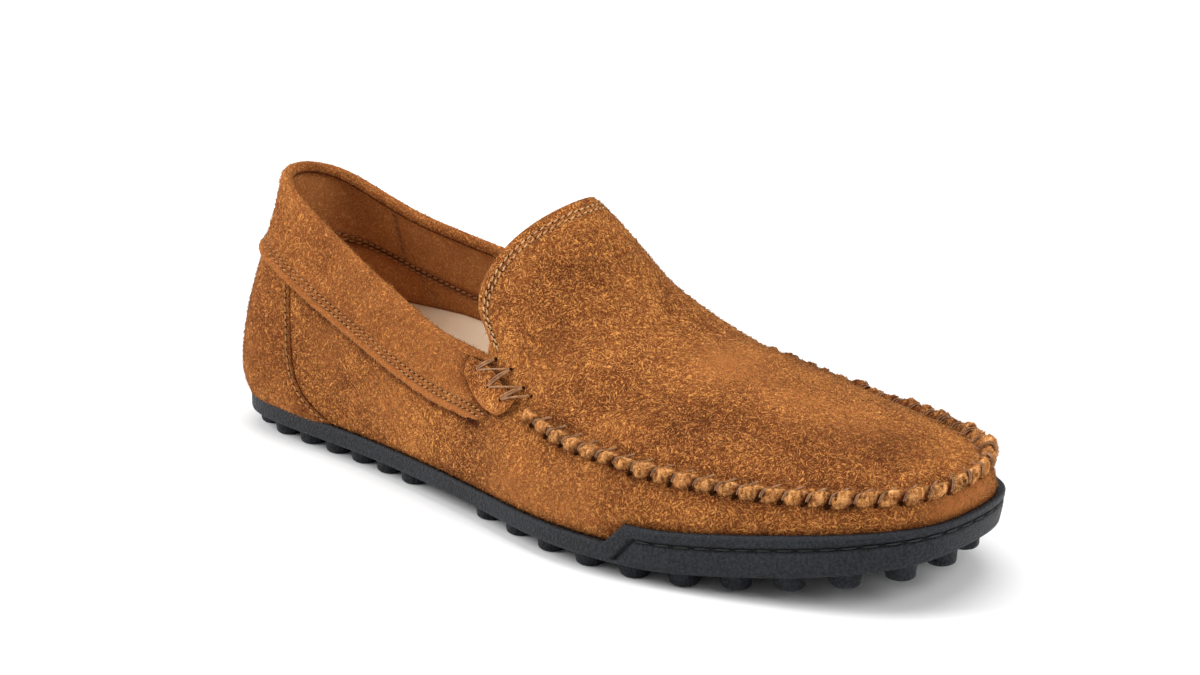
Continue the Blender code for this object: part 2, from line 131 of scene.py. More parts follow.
# Curve of the wall: how far it leaves the foot out and up, and comes to the top from outside and below
WALL_CURVE = (
    (10.5, 14.0, 3.2, 18.0),
    (10.5, 14.0, 3.2, 18.0),
    (9.0, 14.0, 5.0, 17.0),
    (6.5, 13.0, 6.0, 16.0),
    (4.5, 13.0, 6.0, 15.0),
    (4.0, 13.0, 5.0, 14.0),
    (4.0, 12.0, 5.0, 13.0),
    (4.0, 11.0, 5.5, 12.0),
    (4.0, 10.0, 6.0, 10.0),
    (3.5, 9.0, 6.5, 9.0),
    (3.0, 9.0, 6.5, 8.0),
    (2.0, 10.0, 5.5, 7.5),
    (1.2, 10.0, 5.0, 7.0),
    (1.0, 9.0, 4.0, 6.5),
    (1.0, 8.5, 3.5, 6.0),
    (1.0, 8.0, 3.2, 6.0),
    (1.0, 8.0, 3.0, 6.0),
)

# Crest of the apron from the tongue to the toe: along, across, up, swing of the flap, seam handle in and up
APRON_CREST = (
    (133.5, 3.2, 96.0, 28.0, 0.10, 0.53),
    (143.0, 3.2, 88.0, 13.0, 0.14, 0.53),
    (156.0, 3.2, 73.6, 3.0, 0.20, 0.53),
    (175.0, 3.5, 60.4, 0.0, 0.22, 0.54),
    (195.0, 4.0, 55.0, 0.0, 0.24, 0.55),
    (214.0, 4.5, 50.5, 0.0, 0.26, 0.58),
    (231.0, 5.0, 47.5, 0.0, 0.28, 0.60),
    (244.0, 5.0, 45.6, 0.0, 0.30, 0.62),
    (252.0, 5.0, 44.6, 0.0, 0.30, 0.62),
    (256.0, 5.0, 44.2, 0.0, 0.30, 0.62),
)

# Height of the cuff down the wall at each section as far as the throat
CUFF_DROP = (25.5, 25.4, 24.0, 23.0, 21.8, 20.9, 19.4, 18.2, 17.5)

# Footbed: along, thickness at the middle, rise of its cupped edge lateral and medial
FOOTBED = (
    (0.0, 15.5, 6.0, 8.0),
    (60.0, 15.5, 5.0, 9.5),
    (110.0, 13.0, 4.0, 8.0),
    (160.0, 7.5, 3.0, 3.0),
    (215.0, 4.5, 2.0, 2.0),
    (SOLE_LENGTH, 3.0, 1.2, 1.2),
)

# Studs under heel and forefoot, in rows that follow the sole's edge
HEEL_STUDS = dict(insets=(7.8, 21.0), spacing=13.3, reach=(-10.0, 92.0))
FOREFOOT_STUDS = dict(insets=(8.2, 24.0, 39.5), spacing=16.2, reach=(131.0, 300.0))
STUD_CLEARANCE = 12.0
STUD_ROW_SLACK = 0.3
TOE_STUD_ROWS = (12.0, 15.0)
TOE_STUD_INSET = 4.0
EDGE_SAMPLES = 800

# Overlays on the wall
COUNTER_EDGE = (
    (0.0, 3.46),
    (0.16, 3.10),
    (0.28, 2.92),
    (0.40, 2.79),
    (0.55, 2.70),
    (0.70, 2.62),
    (0.85, 2.50),
    (1.0, 2.36),
)
COUNTER_CLEAR = 0.6
SEAM_ENDS = 8.45


# Smooth closed curves through the tables
def closed_slopes(values):
    """Slopes of the smooth closed curve through one value for each whole station."""
    count = len(values)
    system = 4.0 * np.eye(count) + np.roll(np.eye(count), 1, 0) + np.roll(np.eye(count), -1, 0)
    return np.linalg.solve(system, 3.0 * (np.roll(values, -1, 0) - np.roll(values, 1, 0)))


class ClosedCurve:
    """A curve round the shoe. Station 0 is the heel, TOE the toe, and the medial side returns to 2 * TOE."""

    def __init__(self, lateral, medial):
        self.values = np.array(list(lateral) + list(medial)[-2:0:-1], float)
        self.slopes = closed_slopes(self.values)

    def at(self, station):
        count = len(self.values)
        station = np.mod(np.asarray(station, float), count)
        low = np.floor(station).astype(int) % count
        high = (low + 1) % count
        part = (station - np.floor(station))[..., None]
        start, end = self.values[low], self.values[high]
        turn = self.slopes[low] + self.slopes[high] - 2.0 * (end - start)
        bend = 3.0 * (end - start) - 2.0 * self.slopes[low] - self.slopes[high]
        return start + part * (self.slopes[low] + part * (bend + part * turn))

    def slope(self, station):
        station = np.asarray(station, float)
        return (self.at(station + SLOPE_STEP) - self.at(station - SLOPE_STEP)) / (2.0 * SLOPE_STEP)


EDGE = ClosedCurve([(x, lat) for x, lat, med in SOLE_EDGE], [(x, med) for x, lat, med in SOLE_EDGE])
TOP = ClosedCurve(
    [(x, lat, zl) for x, lat, med, zl, zm in WALL_TOP],
    [(x, med, zm) for x, lat, med, zl, zm in WALL_TOP],
)
CURVE = ClosedCurve(WALL_CURVE, WALL_CURVE)
CREST_ROWS = [APRON_CREST[0]] * THROAT + list(APRON_CREST)
CREST = ClosedCurve(CREST_ROWS, CREST_ROWS)
CUFF_ROWS = [(drop,) for drop in CUFF_DROP] + [(CUFF_DROP[-1],)] * (TOE + 1 - len(CUFF_DROP))
CUFF = ClosedCurve(CUFF_ROWS, CUFF_ROWS)
UP = np.array([0.0, 0.0, 1.0])


def unit(vectors):
    return vectors / np.linalg.norm(vectors, axis=-1, keepdims=True)


def distance(points, others):
    return np.linalg.norm(points - others, axis=-1)


def walked(paths):
    """Length along each path as far as each of its points."""
    steps = distance(paths[..., 1:, :], paths[..., :-1, :])
    return np.concatenate([np.zeros((*steps.shape[:-1], 1)), np.cumsum(steps, axis=-1)], axis=-1)


def bell(far, half):
    """1 at no distance, falling softly to a third at the half width and then to nothing."""
    return np.exp(-((far / half) ** 2))


def line_mark(far, strength, half):
    """Strength of a mark along a line, at a distance from it."""
    return strength * bell(far, half)


def edge_mark(far, strength, reach):
    """Strength of a mark along an edge, at a distance from it."""
    return strength * np.exp(-far / reach)


def smooth(value, start, end):
    share = np.clip((value - start) / (end - start), 0.0, 1.0)
    return share * share * (3.0 - 2.0 * share)


def lookup(table, value, column=1):
    """A column of a table at a value of its first column, in straight lines between its rows."""
    rows = np.array(table)
    return np.interp(value, rows[:, 0], rows[:, column])


def row_of(station):
    """The section table's row at a station of either side."""
    station = np.mod(station, 2.0 * TOE)
    return np.minimum(station, 2.0 * TOE - station)


def bezier(points, share):
    a, b, c, d = points
    share = share[..., None]
    rest = 1.0 - share
    return rest**3 * a + 3.0 * rest**2 * share * b + 3.0 * rest * share**2 * c + share**3 * d


def outward(station):
    along = EDGE.slope(station)
    return unit(np.stack([along[..., 1], -along[..., 0], np.zeros(along.shape[:-1])], axis=-1))


def spring(x):
    return TOE_SPRING * np.clip((x - SPRING_START) / (SOLE_LENGTH - SPRING_START), 0.0, None) ** SPRING_POWER


def sole_low(x):
    return STUD_HEIGHT + spring(x)


def plate_top(x):
    return sole_low(x) + PLATE


def bumper_share(station):
    """0 along the strip, 1 along the toe bumper, and the slant between them."""
    start, full = BUMPER_ROWS
    return np.clip((row_of(station) - start) / (full - start), 0.0, 1.0)


def rim_width(station):
    return STRIP_RIM + (BUMPER_RIM - STRIP_RIM) * smooth(row_of(station), THROAT, BUMPER_ROWS[1])


# The last: wall from the sole to the topline or seam, and apron from the seam to its crest
def foot(station):
    edge = EDGE.at(station)
    flat = np.stack([edge[..., 0], edge[..., 1], plate_top(edge[..., 0]) + GAP], axis=-1)
    return flat - (rim_width(station) + GAP)[..., None] * outward(station)


def wall(station, share):
    station, share = np.broadcast_arrays(np.asarray(station, float), np.asarray(share, float))
    low, top, out, curve = foot(station), TOP.at(station), outward(station), CURVE.at(station)
    first = low + curve[..., 0:1] * out + curve[..., 1:2] * UP
    second = top + curve[..., 2:3] * out - curve[..., 3:4] * UP
    return bezier((low, first, second, top), share)


def apron(station, share):
    station, share = np.broadcast_arrays(np.asarray(station, float), np.asarray(share, float))
    seam = TOP.at(station)
    crest = CREST.at(station)
    top, flap_back, handle_in, handle_up = crest[..., :3], crest[..., 3], crest[..., 4], crest[..., 5]
    across = top - seam
    first = seam + across * np.stack([handle_in, handle_in, handle_up], axis=-1)
    first[..., 0] -= flap_back
    second = top - across * np.array([0.0, CREST_HANDLE, 0.0])
    points = bezier((seam, first, second, top), share)
    near = 1.0 - smooth(row_of(station), THROAT, THROAT + FLAP_SWAY_ROWS)
    rise = bell(share - FLAP_SWAY_AT, FLAP_SWAY_HALF) * smooth(share, 0.0, FLAP_SWAY_AT)
    points[..., 0] += FLAP_SWAY * near * rise
    return points


SURFACES = {"wall": wall, "apron": apron}


def normal_of(surface, station, share):
    low = np.maximum(0.0, share - SLOPE_STEP)
    high = np.minimum(1.0, share + SLOPE_STEP)
    up = surface(station, high) - surface(station, low)
    along = surface(station + SLOPE_STEP, share) - surface(station - SLOPE_STEP, share)
    return unit(np.cross(along, up))


def apron_out(station, share):
    """The way out of the apron, taken just below the crest where both sides meet on it."""
    return normal_of(apron, station, np.minimum(share, BELOW_CREST))


def wall_shares(station, value, shares, measure):
    """Shares of the wall's curve where a measure that grows along these shares has these values."""
    station, value = np.broadcast_arrays(np.asarray(station, float), np.asarray(value, float))
    lines = measure(wall(station.reshape(-1, 1), shares))
    found = [np.interp(one, line, shares) for one, line in zip(value.reshape(-1), lines)]
    return np.array(found).reshape(station.shape)


def down_wall(station, down):
    """Shares of the wall's curve this far below its top, measured along the curve."""
    return wall_shares(station, down, np.linspace(1.0, 0.0, CURVE_SAMPLES), walked)


def up_wall(station, height):
    """Shares of the wall's curve at these heights above the floor."""
    return wall_shares(station, height, np.linspace(0.0, 1.0, CURVE_SAMPLES), lambda lines: lines[..., 2])


def on_wall(station, down, offset=0.0):
    """Places this far below the wall's top and off the wall, and the way out there."""
    station, down = np.broadcast_arrays(np.asarray(station, float), np.asarray(down, float))
    share = down_wall(station, down)
    out = normal_of(wall, station, share)
    return wall(station, share) + np.asarray(offset, float)[..., None] * out, out


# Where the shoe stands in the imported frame
CAD_STEP = 0.5
sole_box_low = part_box("outsole")[0]
lateral_edge = EDGE.at(np.arange(0.0, TOE, CAD_STEP))
SHIFT = np.array([sole_box_low.x / MM, sole_box_low.y / MM - lateral_edge[:, 1].min(), 0.0])


def link(thing):
    bpy.context.scene.collection.objects.link(thing)


# Camera at the photograph's angle: place in the shoe's frame, turn, height and focal length on a 36 mm sensor
CAMERA_PLACE = (734.44, -691.37, 354.20)
CAMERA_AZIMUTH = 40.53
CAMERA_ELEVATION = 18.35
CAMERA_LENS = 89.97
CAMERA_SENSOR = 36.0
CAMERA_NEAR = 10.0


def add_camera():
    azimuth, elevation = math.radians(CAMERA_AZIMUTH), math.radians(CAMERA_ELEVATION)
    level = math.cos(elevation)
    back = Vector((math.sin(azimuth) * level, -math.cos(azimuth) * level, math.sin(elevation)))
    right = Vector((math.cos(azimuth), math.sin(azimuth), 0.0))
    camera = bpy.data.objects.new("camera", bpy.data.cameras.new("camera"))
    camera.data.lens = CAMERA_LENS
    camera.data.sensor_width = CAMERA_SENSOR
    camera.data.clip_start = CAMERA_NEAR * MM
    turned = Matrix((right, back.cross(right), back)).transposed().to_4x4()
    turned.translation = Vector((np.array(CAMERA_PLACE) + SHIFT) * MM)
    camera.matrix_world = turned
    link(camera)
    bpy.context.scene.camera = camera


# Colours and materials
def linear(hexa):
    """An sRGB hex colour as linear values."""
    parts = [int(hexa[place : place + 2], 16) / 255.0 for place in (1, 3, 5)]
    parts = [part / 12.92 if part <= 0.04045 else ((part + 0.055) / 1.055) ** 2.4 for part in parts]
    return (*parts, 1.0)


def per_metre(size_mm):
    """Scale of a pattern whose features are this many millimetres wide."""
    return 1.0 / (size_mm * MM)


def fill(tree, made, inputs):
    """Sets or links the inputs of a node."""
    for key, value in inputs.items():
        if isinstance(value, bpy.types.NodeSocket):
            tree.links.new(value, made.inputs[key])
        else:
            made.inputs[key].default_value = value


def node(tree, kind, inputs=None, stops=(), **settings):
    """Adds a node, sets its properties and colour stops, and sets or links its inputs."""
    made = tree.nodes.new(kind)
    for number, (place, hexa) in enumerate(stops):
        elements = made.color_ramp.elements
        element = elements[number] if number < len(elements) else elements.new(place)
        element.position = place
        element.color = linear(hexa)
    for name, value in settings.items():
        setattr(made, name, value)
    fill(tree, made, inputs or {})
    return made


def new_material(name):
    material = bpy.data.materials.new(name)
    material.use_nodes = True
    return material, material.node_tree, material.node_tree.nodes["Principled BSDF"]


# Broad layers of the suede's colour: size in millimetres, detail, twist, share of the colour
SUEDE_LAYERS = (
    (26.0, 2.0, 0.6, 0.85),
    (6.0, 3.0, 0.8, 0.5),
)

# Two layers of tufts in which the fibres lie one way: size of a tuft in millimetres, shift in metres
TUFTS = ((2.8, 0.0), (2.2, 0.37))

# Fibres: width, how far they are drawn out, share of the colour, mean, and the noise from which they rise
FIBRE = 0.34
FIBRE_DRAW = 0.87
FIBRE_SHARE = 1.25
FIBRE_MEAN = 0.145
FIBRE_EDGE = (0.53, 0.72)
FIBRE_RAISE = 0.3
CURL_SIZE = 1.6
CURL_REACH = 1.2

# Colours that all suedes share, among them the tint of painted shade, and how far past the lightest leather
# the ramp goes to the brightest fibres
FIBRE_GLINT = "#E39E50"
COLOUR_REACH = 1.5
PAINTED_SHADE_TINT = "#6A2E10"
SHEEN_TINT = "#E0A062"


def suede(name, dark, mid, light, wear_and_painted_light, contrast=1.0, sheen=0.12):
    """Cow suede, brushed: a matt velvety nap of short curled fibres in tufts that lie different ways.

    Each tuft draws a fine noise out along its own direction, about five times coarser than real fibres,
    which don't show at this distance. Bright fibres stand on a mid brown ground.
    """
    material, tree, shader = new_material(name)
    given = node(tree, "ShaderNodeTexCoord").outputs
    place, out = given["Object"], given["Normal"]
    contrast = contrast / COLOUR_REACH
    mean = FIBRE_MEAN * FIBRE_SHARE + 0.5 * sum(layer[-1] for layer in SUEDE_LAYERS)
    level = 0.5 / COLOUR_REACH - contrast * mean
    for size, detail, twist, share in SUEDE_LAYERS:
        inputs = {"Vector": place, "Scale": per_metre(size), "Detail": detail, "Distortion": twist}
        cloud = node(tree, "ShaderNodeTexNoise", inputs).outputs["Fac"]
        inputs = {0: cloud, 1: contrast * share, 2: level}
        level = node(tree, "ShaderNodeMath", inputs, operation="MULTIPLY_ADD").outputs[0]
    inputs = {"Vector": place, "Scale": per_metre(CURL_SIZE), "Detail": 0.0}
    curl = node(tree, "ShaderNodeTexNoise", inputs).outputs["Color"]
    inputs = {0: curl, 1: (CURL_REACH * MM,) * 3, 2: place}
    curled = node(tree, "ShaderNodeVectorMath", inputs, operation="MULTIPLY_ADD").outputs[0]
    layers = []
    for size, shift in TUFTS:
        inputs = {0: curled, 1: (shift, shift, 0.0)}
        moved = node(tree, "ShaderNodeVectorMath", inputs, operation="ADD").outputs[0]
        tuft = node(tree, "ShaderNodeTexVoronoi", {"Vector": moved, "Scale": per_metre(size)})
        inputs = {0: tuft.outputs["Color"], 1: (0.5, 0.5, 0.5)}
        lie = node(tree, "ShaderNodeVectorMath", inputs, operation="SUBTRACT").outputs[0]
        lie = node(tree, "ShaderNodeVectorMath", {0: lie, 1: out}, operation="CROSS_PRODUCT").outputs[0]
        lie = node(tree, "ShaderNodeVectorMath", {0: lie}, operation="NORMALIZE").outputs[0]
        inputs = {0: moved, 1: tuft.outputs["Position"]}
        inside = node(tree, "ShaderNodeVectorMath", inputs, operation="SUBTRACT").outputs[0]
        inputs = {0: inside, 1: lie}
        along = node(tree, "ShaderNodeVectorMath", inputs, operation="DOT_PRODUCT").outputs["Value"]
        drawn = node(tree, "ShaderNodeMath", {0: along, 1: FIBRE_DRAW}, operation="MULTIPLY").outputs[0]
        inputs = {0: lie, "Scale": drawn}
        drawn = node(tree, "ShaderNodeVectorMath", inputs, operation="SCALE").outputs[0]
        inputs = {0: moved, 1: drawn}
        drawn = node(tree, "ShaderNodeVectorMath", inputs, operation="SUBTRACT").outputs[0]
        inputs = {"Vector": drawn, "Scale": per_metre(FIBRE), "Detail": 1.0}
        fibre = node(tree, "ShaderNodeTexNoise", inputs).outputs["Fac"]
        inputs = {"Value": fibre, "From Min": FIBRE_EDGE[0], "From Max": FIBRE_EDGE[1]}
        layers.append(node(tree, "ShaderNodeMapRange", inputs).outputs["Result"])
    nap = node(tree, "ShaderNodeMath", {0: layers[0], 1: layers[1]}, operation="MAXIMUM").outputs[0]
    inputs = {0: nap, 1: contrast * FIBRE_SHARE, 2: level}
    level = node(tree, "ShaderNodeMath", inputs, operation="MULTIPLY_ADD").outputs[0]
    stops = ((0.0, dark), (0.5 / COLOUR_REACH, mid), (1.0 / COLOUR_REACH, light), (1.0, FIBRE_GLINT))
    colour = node(tree, "ShaderNodeValToRGB", {"Fac": level}, stops).outputs["Color"]
    # Wear and painted light from the mesh's marks, then painted shade multiplied in
    for mark, hexa, blend in (("wear_and_painted_light", wear_and_painted_light, "MIX"), ("painted_shade", PAINTED_SHADE_TINT, "MULTIPLY")):
        share = node(tree, "ShaderNodeAttribute", attribute_name=mark).outputs["Fac"]
        inputs = {0: share, 6: colour, 7: linear(hexa)}
        colour = node(tree, "ShaderNodeMix", inputs, data_type="RGBA", blend_type=blend).outputs[2]
    bump = node(tree, "ShaderNodeBump", {"Height": nap, "Strength": 0.6, "Distance": FIBRE_RAISE * MM})
    finish = {"Roughness": 0.95, "Specular IOR Level": 0.1, "Sheen Weight": sheen, "Sheen Roughness": 0.5}
    fill(tree, shader, {"Base Color": colour, "Normal": bump.outputs["Normal"], **finish})
    fill(tree, shader, {"Sheen Tint": linear(SHEEN_TINT)})
    return material


# Rubber: size of its clouds and of its grain in millimetres, and the grain's height
RUBBER_CLOUD = 14.0
RUBBER_GRAIN = 0.9
RUBBER_RAISE = 1.3


def moulded_rubber():
    """Moulded rubber, spark-eroded finish: slate black and matt, an even grain, with a painted highlight
    along its top rim and painted shade in its groove.

    The grain is drawn coarser and higher than the real one, which doesn't show at this distance.
    """
    material, tree, shader = new_material("moulded_rubber")
    place = node(tree, "ShaderNodeTexCoord").outputs["Object"]
    inputs = {"Vector": place, "Detail": 4.0}
    cloud = node(tree, "ShaderNodeTexNoise", {**inputs, "Scale": per_metre(RUBBER_CLOUD)}).outputs["Fac"]
    grain = node(tree, "ShaderNodeTexNoise", {**inputs, "Scale": per_metre(RUBBER_GRAIN)}).outputs["Fac"]
    inputs = {0: cloud, 1: 0.3, 2: grain}
    speckle = node(tree, "ShaderNodeMath", inputs, operation="MULTIPLY_ADD").outputs[0]
    stops = ((0.5, "#010103"), (0.82, "#23262D"))
    colour = node(tree, "ShaderNodeValToRGB", {"Fac": speckle}, stops).outputs["Color"]
    # Painted highlight along the top rim, then painted shade in the groove
    for mark, hexa in (("wear_and_painted_light", "#25272C"), ("painted_shade", "#000001")):
        share = node(tree, "ShaderNodeAttribute", attribute_name=mark).outputs["Fac"]
        inputs = {0: share, 6: colour, 7: linear(hexa)}
        colour = node(tree, "ShaderNodeMix", inputs, data_type="RGBA").outputs[2]
    bump = node(tree, "ShaderNodeBump", {"Height": grain, "Strength": 1.0, "Distance": RUBBER_RAISE * MM})
    inputs = {"Value": cloud, "To Min": 0.42, "To Max": 0.6}
    matt = node(tree, "ShaderNodeMapRange", inputs).outputs["Result"]
    fill(tree, shader, {"Base Color": colour, "Normal": bump.outputs["Normal"], "Roughness": matt})
    fill(tree, shader, {"Specular IOR Level": 0.27})
    return material


def sock_leather():
    """Smooth lining leather: cream, with a fine pebble grain 0.9 mm wide and a dull gloss."""
    material, tree, shader = new_material("sock_leather")
    place = node(tree, "ShaderNodeTexCoord").outputs["Object"]
    inputs = {"Vector": place, "Scale": per_metre(18.0), "Detail": 3.0}
    cloud = node(tree, "ShaderNodeTexNoise", inputs).outputs["Fac"]
    stops = ((0.3, "#F2D3AE"), (0.7, "#FCE5C8"))
    colour = node(tree, "ShaderNodeValToRGB", {"Fac": cloud}, stops).outputs["Color"]
    inputs = {"Vector": place, "Scale": per_metre(0.9)}
    grain = node(tree, "ShaderNodeTexVoronoi", inputs).outputs["Distance"]
    bump = node(tree, "ShaderNodeBump", {"Height": grain, "Strength": 0.2, "Distance": 0.2 * MM})
    fill(tree, shader, {"Base Color": colour, "Normal": bump.outputs["Normal"], "Roughness": 0.55})
    return material


def sewing_thread(name, dark, light, roughness):
    """Bonded sewing thread: waxed strands that pick up dirt every millimetre or two, with a slight gloss."""
    material, tree, shader = new_material(name)
    place = node(tree, "ShaderNodeTexCoord").outputs["Object"]
    inputs = {"Vector": place, "Scale": per_metre(1.6), "Detail": 3.0, "Roughness": 0.65}
    fibre = node(tree, "ShaderNodeTexNoise", inputs).outputs["Fac"]
    stops = ((0.3, dark), (0.65, light))
    colour = node(tree, "ShaderNodeValToRGB", {"Fac": fibre}, stops).outputs["Color"]
    bump = node(tree, "ShaderNodeBump", {"Height": fibre, "Strength": 0.3, "Distance": 0.2 * MM})
    fill(tree, shader, {"Base Color": colour, "Normal": bump.outputs["Normal"], "Roughness": roughness})
    return material


def hole_shade():
    """Painted shade for the inside of a hole pushed through suede: nearly black and quite matt."""
    material, tree, shader = new_material("hole_shade")
    place = node(tree, "ShaderNodeTexCoord").outputs["Object"]
    cloud = node(tree, "ShaderNodeTexNoise", {"Vector": place, "Scale": per_metre(1.0)}).outputs["Fac"]
    stops = ((0.3, "#221006"), (0.7, "#341B0A"))
    colour = node(tree, "ShaderNodeValToRGB", {"Fac": cloud}, stops).outputs["Color"]
    fill(tree, shader, {"Base Color": colour, "Roughness": 1.0, "Specular IOR Level": 0.0})
    return material


SUEDE = suede("brushed_suede", "#3C1A08", "#7F431D", "#C68347", "#A36232")
VELVET_SUEDE = suede("velvety_suede", "#3C1A08", "#7F431D", "#C68347", "#A36232", contrast=0.72)
CUT_SUEDE = suede("cut_suede", "#4E270E", "#955527", "#D6975A", "#BE7F46")
SEAM_SUEDE = suede("gathered_suede", "#3C1A06", "#B06830", "#F4B470", "#F0B272", contrast=1.3)
NAP_FIBRE = suede("nap_fibre", "#74411A", "#B2733A", "#DFA668", "#D2985A")
LINING = suede("suede_lining", "#6B3D1C", "#A56637", "#C58C56", "#B07A45", contrast=0.55, sheen=0.08)
RUBBER = moulded_rubber()
SOCK = sock_leather()
FLAP_THREAD = sewing_thread("beige_thread", "#8C5E30", "#C9A171", 0.5)
TAN_THREAD = sewing_thread("tan_thread", "#7A4A20", "#B27E48", 0.6)
LINING_THREAD = sewing_thread("lining_thread", "#7E5027", "#A97B4A", 0.6)
WAXED_THREAD = sewing_thread("waxed_thread", "#5E391C", "#A1744A", 0.5)
LACE_THREAD = sewing_thread("waxed_lace", "#5F3717", "#9E6C3E", 0.5)
SOLE_THREAD = sewing_thread("sole_thread", "#050506", "#101013", 0.6)
HOLE_SHADE = hole_shade()
SKINS = {}


# Meshes
def new_piece(name, points, faces, materials, marks=None):
    """A piece from points in the shoe's frame, with shading marks for each point."""
    mesh = bpy.data.meshes.new(name)
    places = (np.asarray(points, float).reshape(-1, 3) + SHIFT) * MM
    mesh.from_pydata(places.tolist(), [], [tuple(face) for face in faces])
    for key, values in (marks or {}).items():
        layer = mesh.attributes.new(key, "FLOAT", "POINT")
        layer.data.foreach_set("value", np.asarray(values, np.float32).ravel())
    for material in materials:
        mesh.materials.append(material)
    if len(faces):
        mesh.shade_smooth()
    piece = bpy.data.objects.new(name, mesh)
    link(piece)
    return piece


def quads_between(index):
    """Quads of a grid of point numbers whose rows run along the shoe and whose columns run up."""
    low, high = index[:-1], index[1:]
    return np.stack([low[:, :-1], high[:, :-1], high[:, 1:], low[:, 1:]], axis=-1).reshape(-1, 4)


def grid_faces(rows, columns, closed=False):
    index = np.arange(rows * columns).reshape(rows, columns)
    return quads_between(np.concatenate([index, index[:1]]) if closed else index)


def settle(piece):
    """Turns a piece with its modifiers into a plain mesh."""
    bpy.context.view_layer.update()
    graph = bpy.context.evaluated_depsgraph_get()
    mesh = bpy.data.meshes.new_from_object(piece.evaluated_get(graph))
    mesh.name = piece.name
    piece.modifiers.clear()
    piece.data = mesh
    return piece


def thicken(piece, thickness, inner=0, rim=0, thin=(), thin_share=1.0, even=True):
    """Gives a sheet its thickness, inwards from the side that shows, and keeps that side for the nap."""
    SKINS[piece.name] = piece.data.copy()
    solid = piece.modifiers.new("thickness", "SOLIDIFY")
    solid.thickness = thickness * MM
    solid.offset = -1.0
    solid.use_even_offset = even
    solid.thickness_clamp = 1.0
    solid.material_offset = inner
    solid.material_offset_rim = rim
    if len(thin):
        group = piece.vertex_groups.new(name="thin")
        group.add([int(point) for point in thin], 1.0, "REPLACE")
        solid.vertex_group = group.name
        solid.invert_vertex_group = True
        solid.thickness_vertex_group = thin_share
    return settle(piece)


def add_to_shoe(piece, slot, *nodes):
    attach(piece, "root")
    if nodes:
        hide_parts(*nodes)


def rough(points, size, seed=0.0):
    """Smooth noise from about -1 to 1 at each point, with features of this size."""
    flat = np.asarray(points, float).reshape(-1, 3) / size
    values = [noise.noise(Vector((x + seed, y, z))) for x, y, z in flat]
    return np.array(values).reshape(np.asarray(points).shape[:-1])


def uneven(points, height, size, seed):
    return height * rough(points, size, seed)


# Rhythm of the hand-sewn moccasin seam
PUCKER_PITCH = 7.0
SEAM_FINE = np.linspace(SEAM_ENDS, 2.0 * TOE - SEAM_ENDS, 3000)
SEAM_WALKED = walked(TOP.at(SEAM_FINE))
PUCKERS = round(SEAM_WALKED[-1] / PUCKER_PITCH)
SEAM_PHASE = SEAM_WALKED / SEAM_WALKED[-1] * PUCKERS
SEAM_TOE_ROWS = (12.6, 15.2)


def seam_phase(station):
    """How many puckers lie between the seam's lateral end and a station."""
    return np.interp(station, SEAM_FINE, SEAM_PHASE)


def seam_station(phase):
    return np.interp(phase, SEAM_PHASE, SEAM_FINE)


def gathered(station):
    """Whether the gathered seam runs at a station."""
    return (station > SEAM_ENDS) & (station < 2.0 * TOE - SEAM_ENDS)


# Soft troughs, below 0, and ridges: surface, row and share at both ends, half width, height
CREASES = (
    ("wall", (5.2, 0.52), (7.6, 0.30), 7.0, -0.7),
    ("wall", (6.4, 0.62), (8.6, 0.40), 6.0, 0.5),
    ("wall", (3.4, 0.60), (4.6, 0.25), 8.0, -0.6),
    ("wall", (8.4, 0.70), (9.6, 0.25), 7.0, -0.5),
    ("wall", (11.0, 0.55), (13.0, 0.45), 6.0, 0.4),
    ("wall", (13.4, 0.78), (18.6, 0.78), 3.3, 1.9),
    ("wall", (-4.8, 0.55), (-7.2, 0.30), 8.0, -0.7),
    ("wall", (-8.2, 0.65), (-9.8, 0.30), 7.0, -0.5),
    ("apron", (8.6, 0.20), (8.9, 0.62), 8.0, -0.8),
    ("apron", (9.5, 0.25), (9.6, 0.70), 7.0, 0.5),
    ("apron", (10.4, 0.30), (10.2, 0.75), 9.0, -0.5),
    ("apron", (23.4, 0.20), (23.1, 0.62), 8.0, -0.8),
    ("apron", (21.8, 0.25), (21.6, 0.70), 9.0, -0.5),
    ("apron", (12.6, 0.15), (14.6, 0.30), 6.0, -0.4),
)
CREASE_SAMPLES = 16
CREASE_END = 0.06


def creased(points, kind):
    """Height of the creases of one surface at each point."""
    total = np.zeros(points.shape[:-1])
    along = np.linspace(0.0, 1.0, CREASE_SAMPLES)
    fade = np.sin(np.pi * np.clip(along, CREASE_END, 1.0 - CREASE_END))
    for name, (row, share), (end_row, end_share), half, height in CREASES:
        if name == kind:
            line = SURFACES[kind](row + along * (end_row - row), share + along * (end_share - share))
            far = distance(points[..., None, :], line)
            total += height * (fade * bell(far, half)).max(axis=-1)
    return total
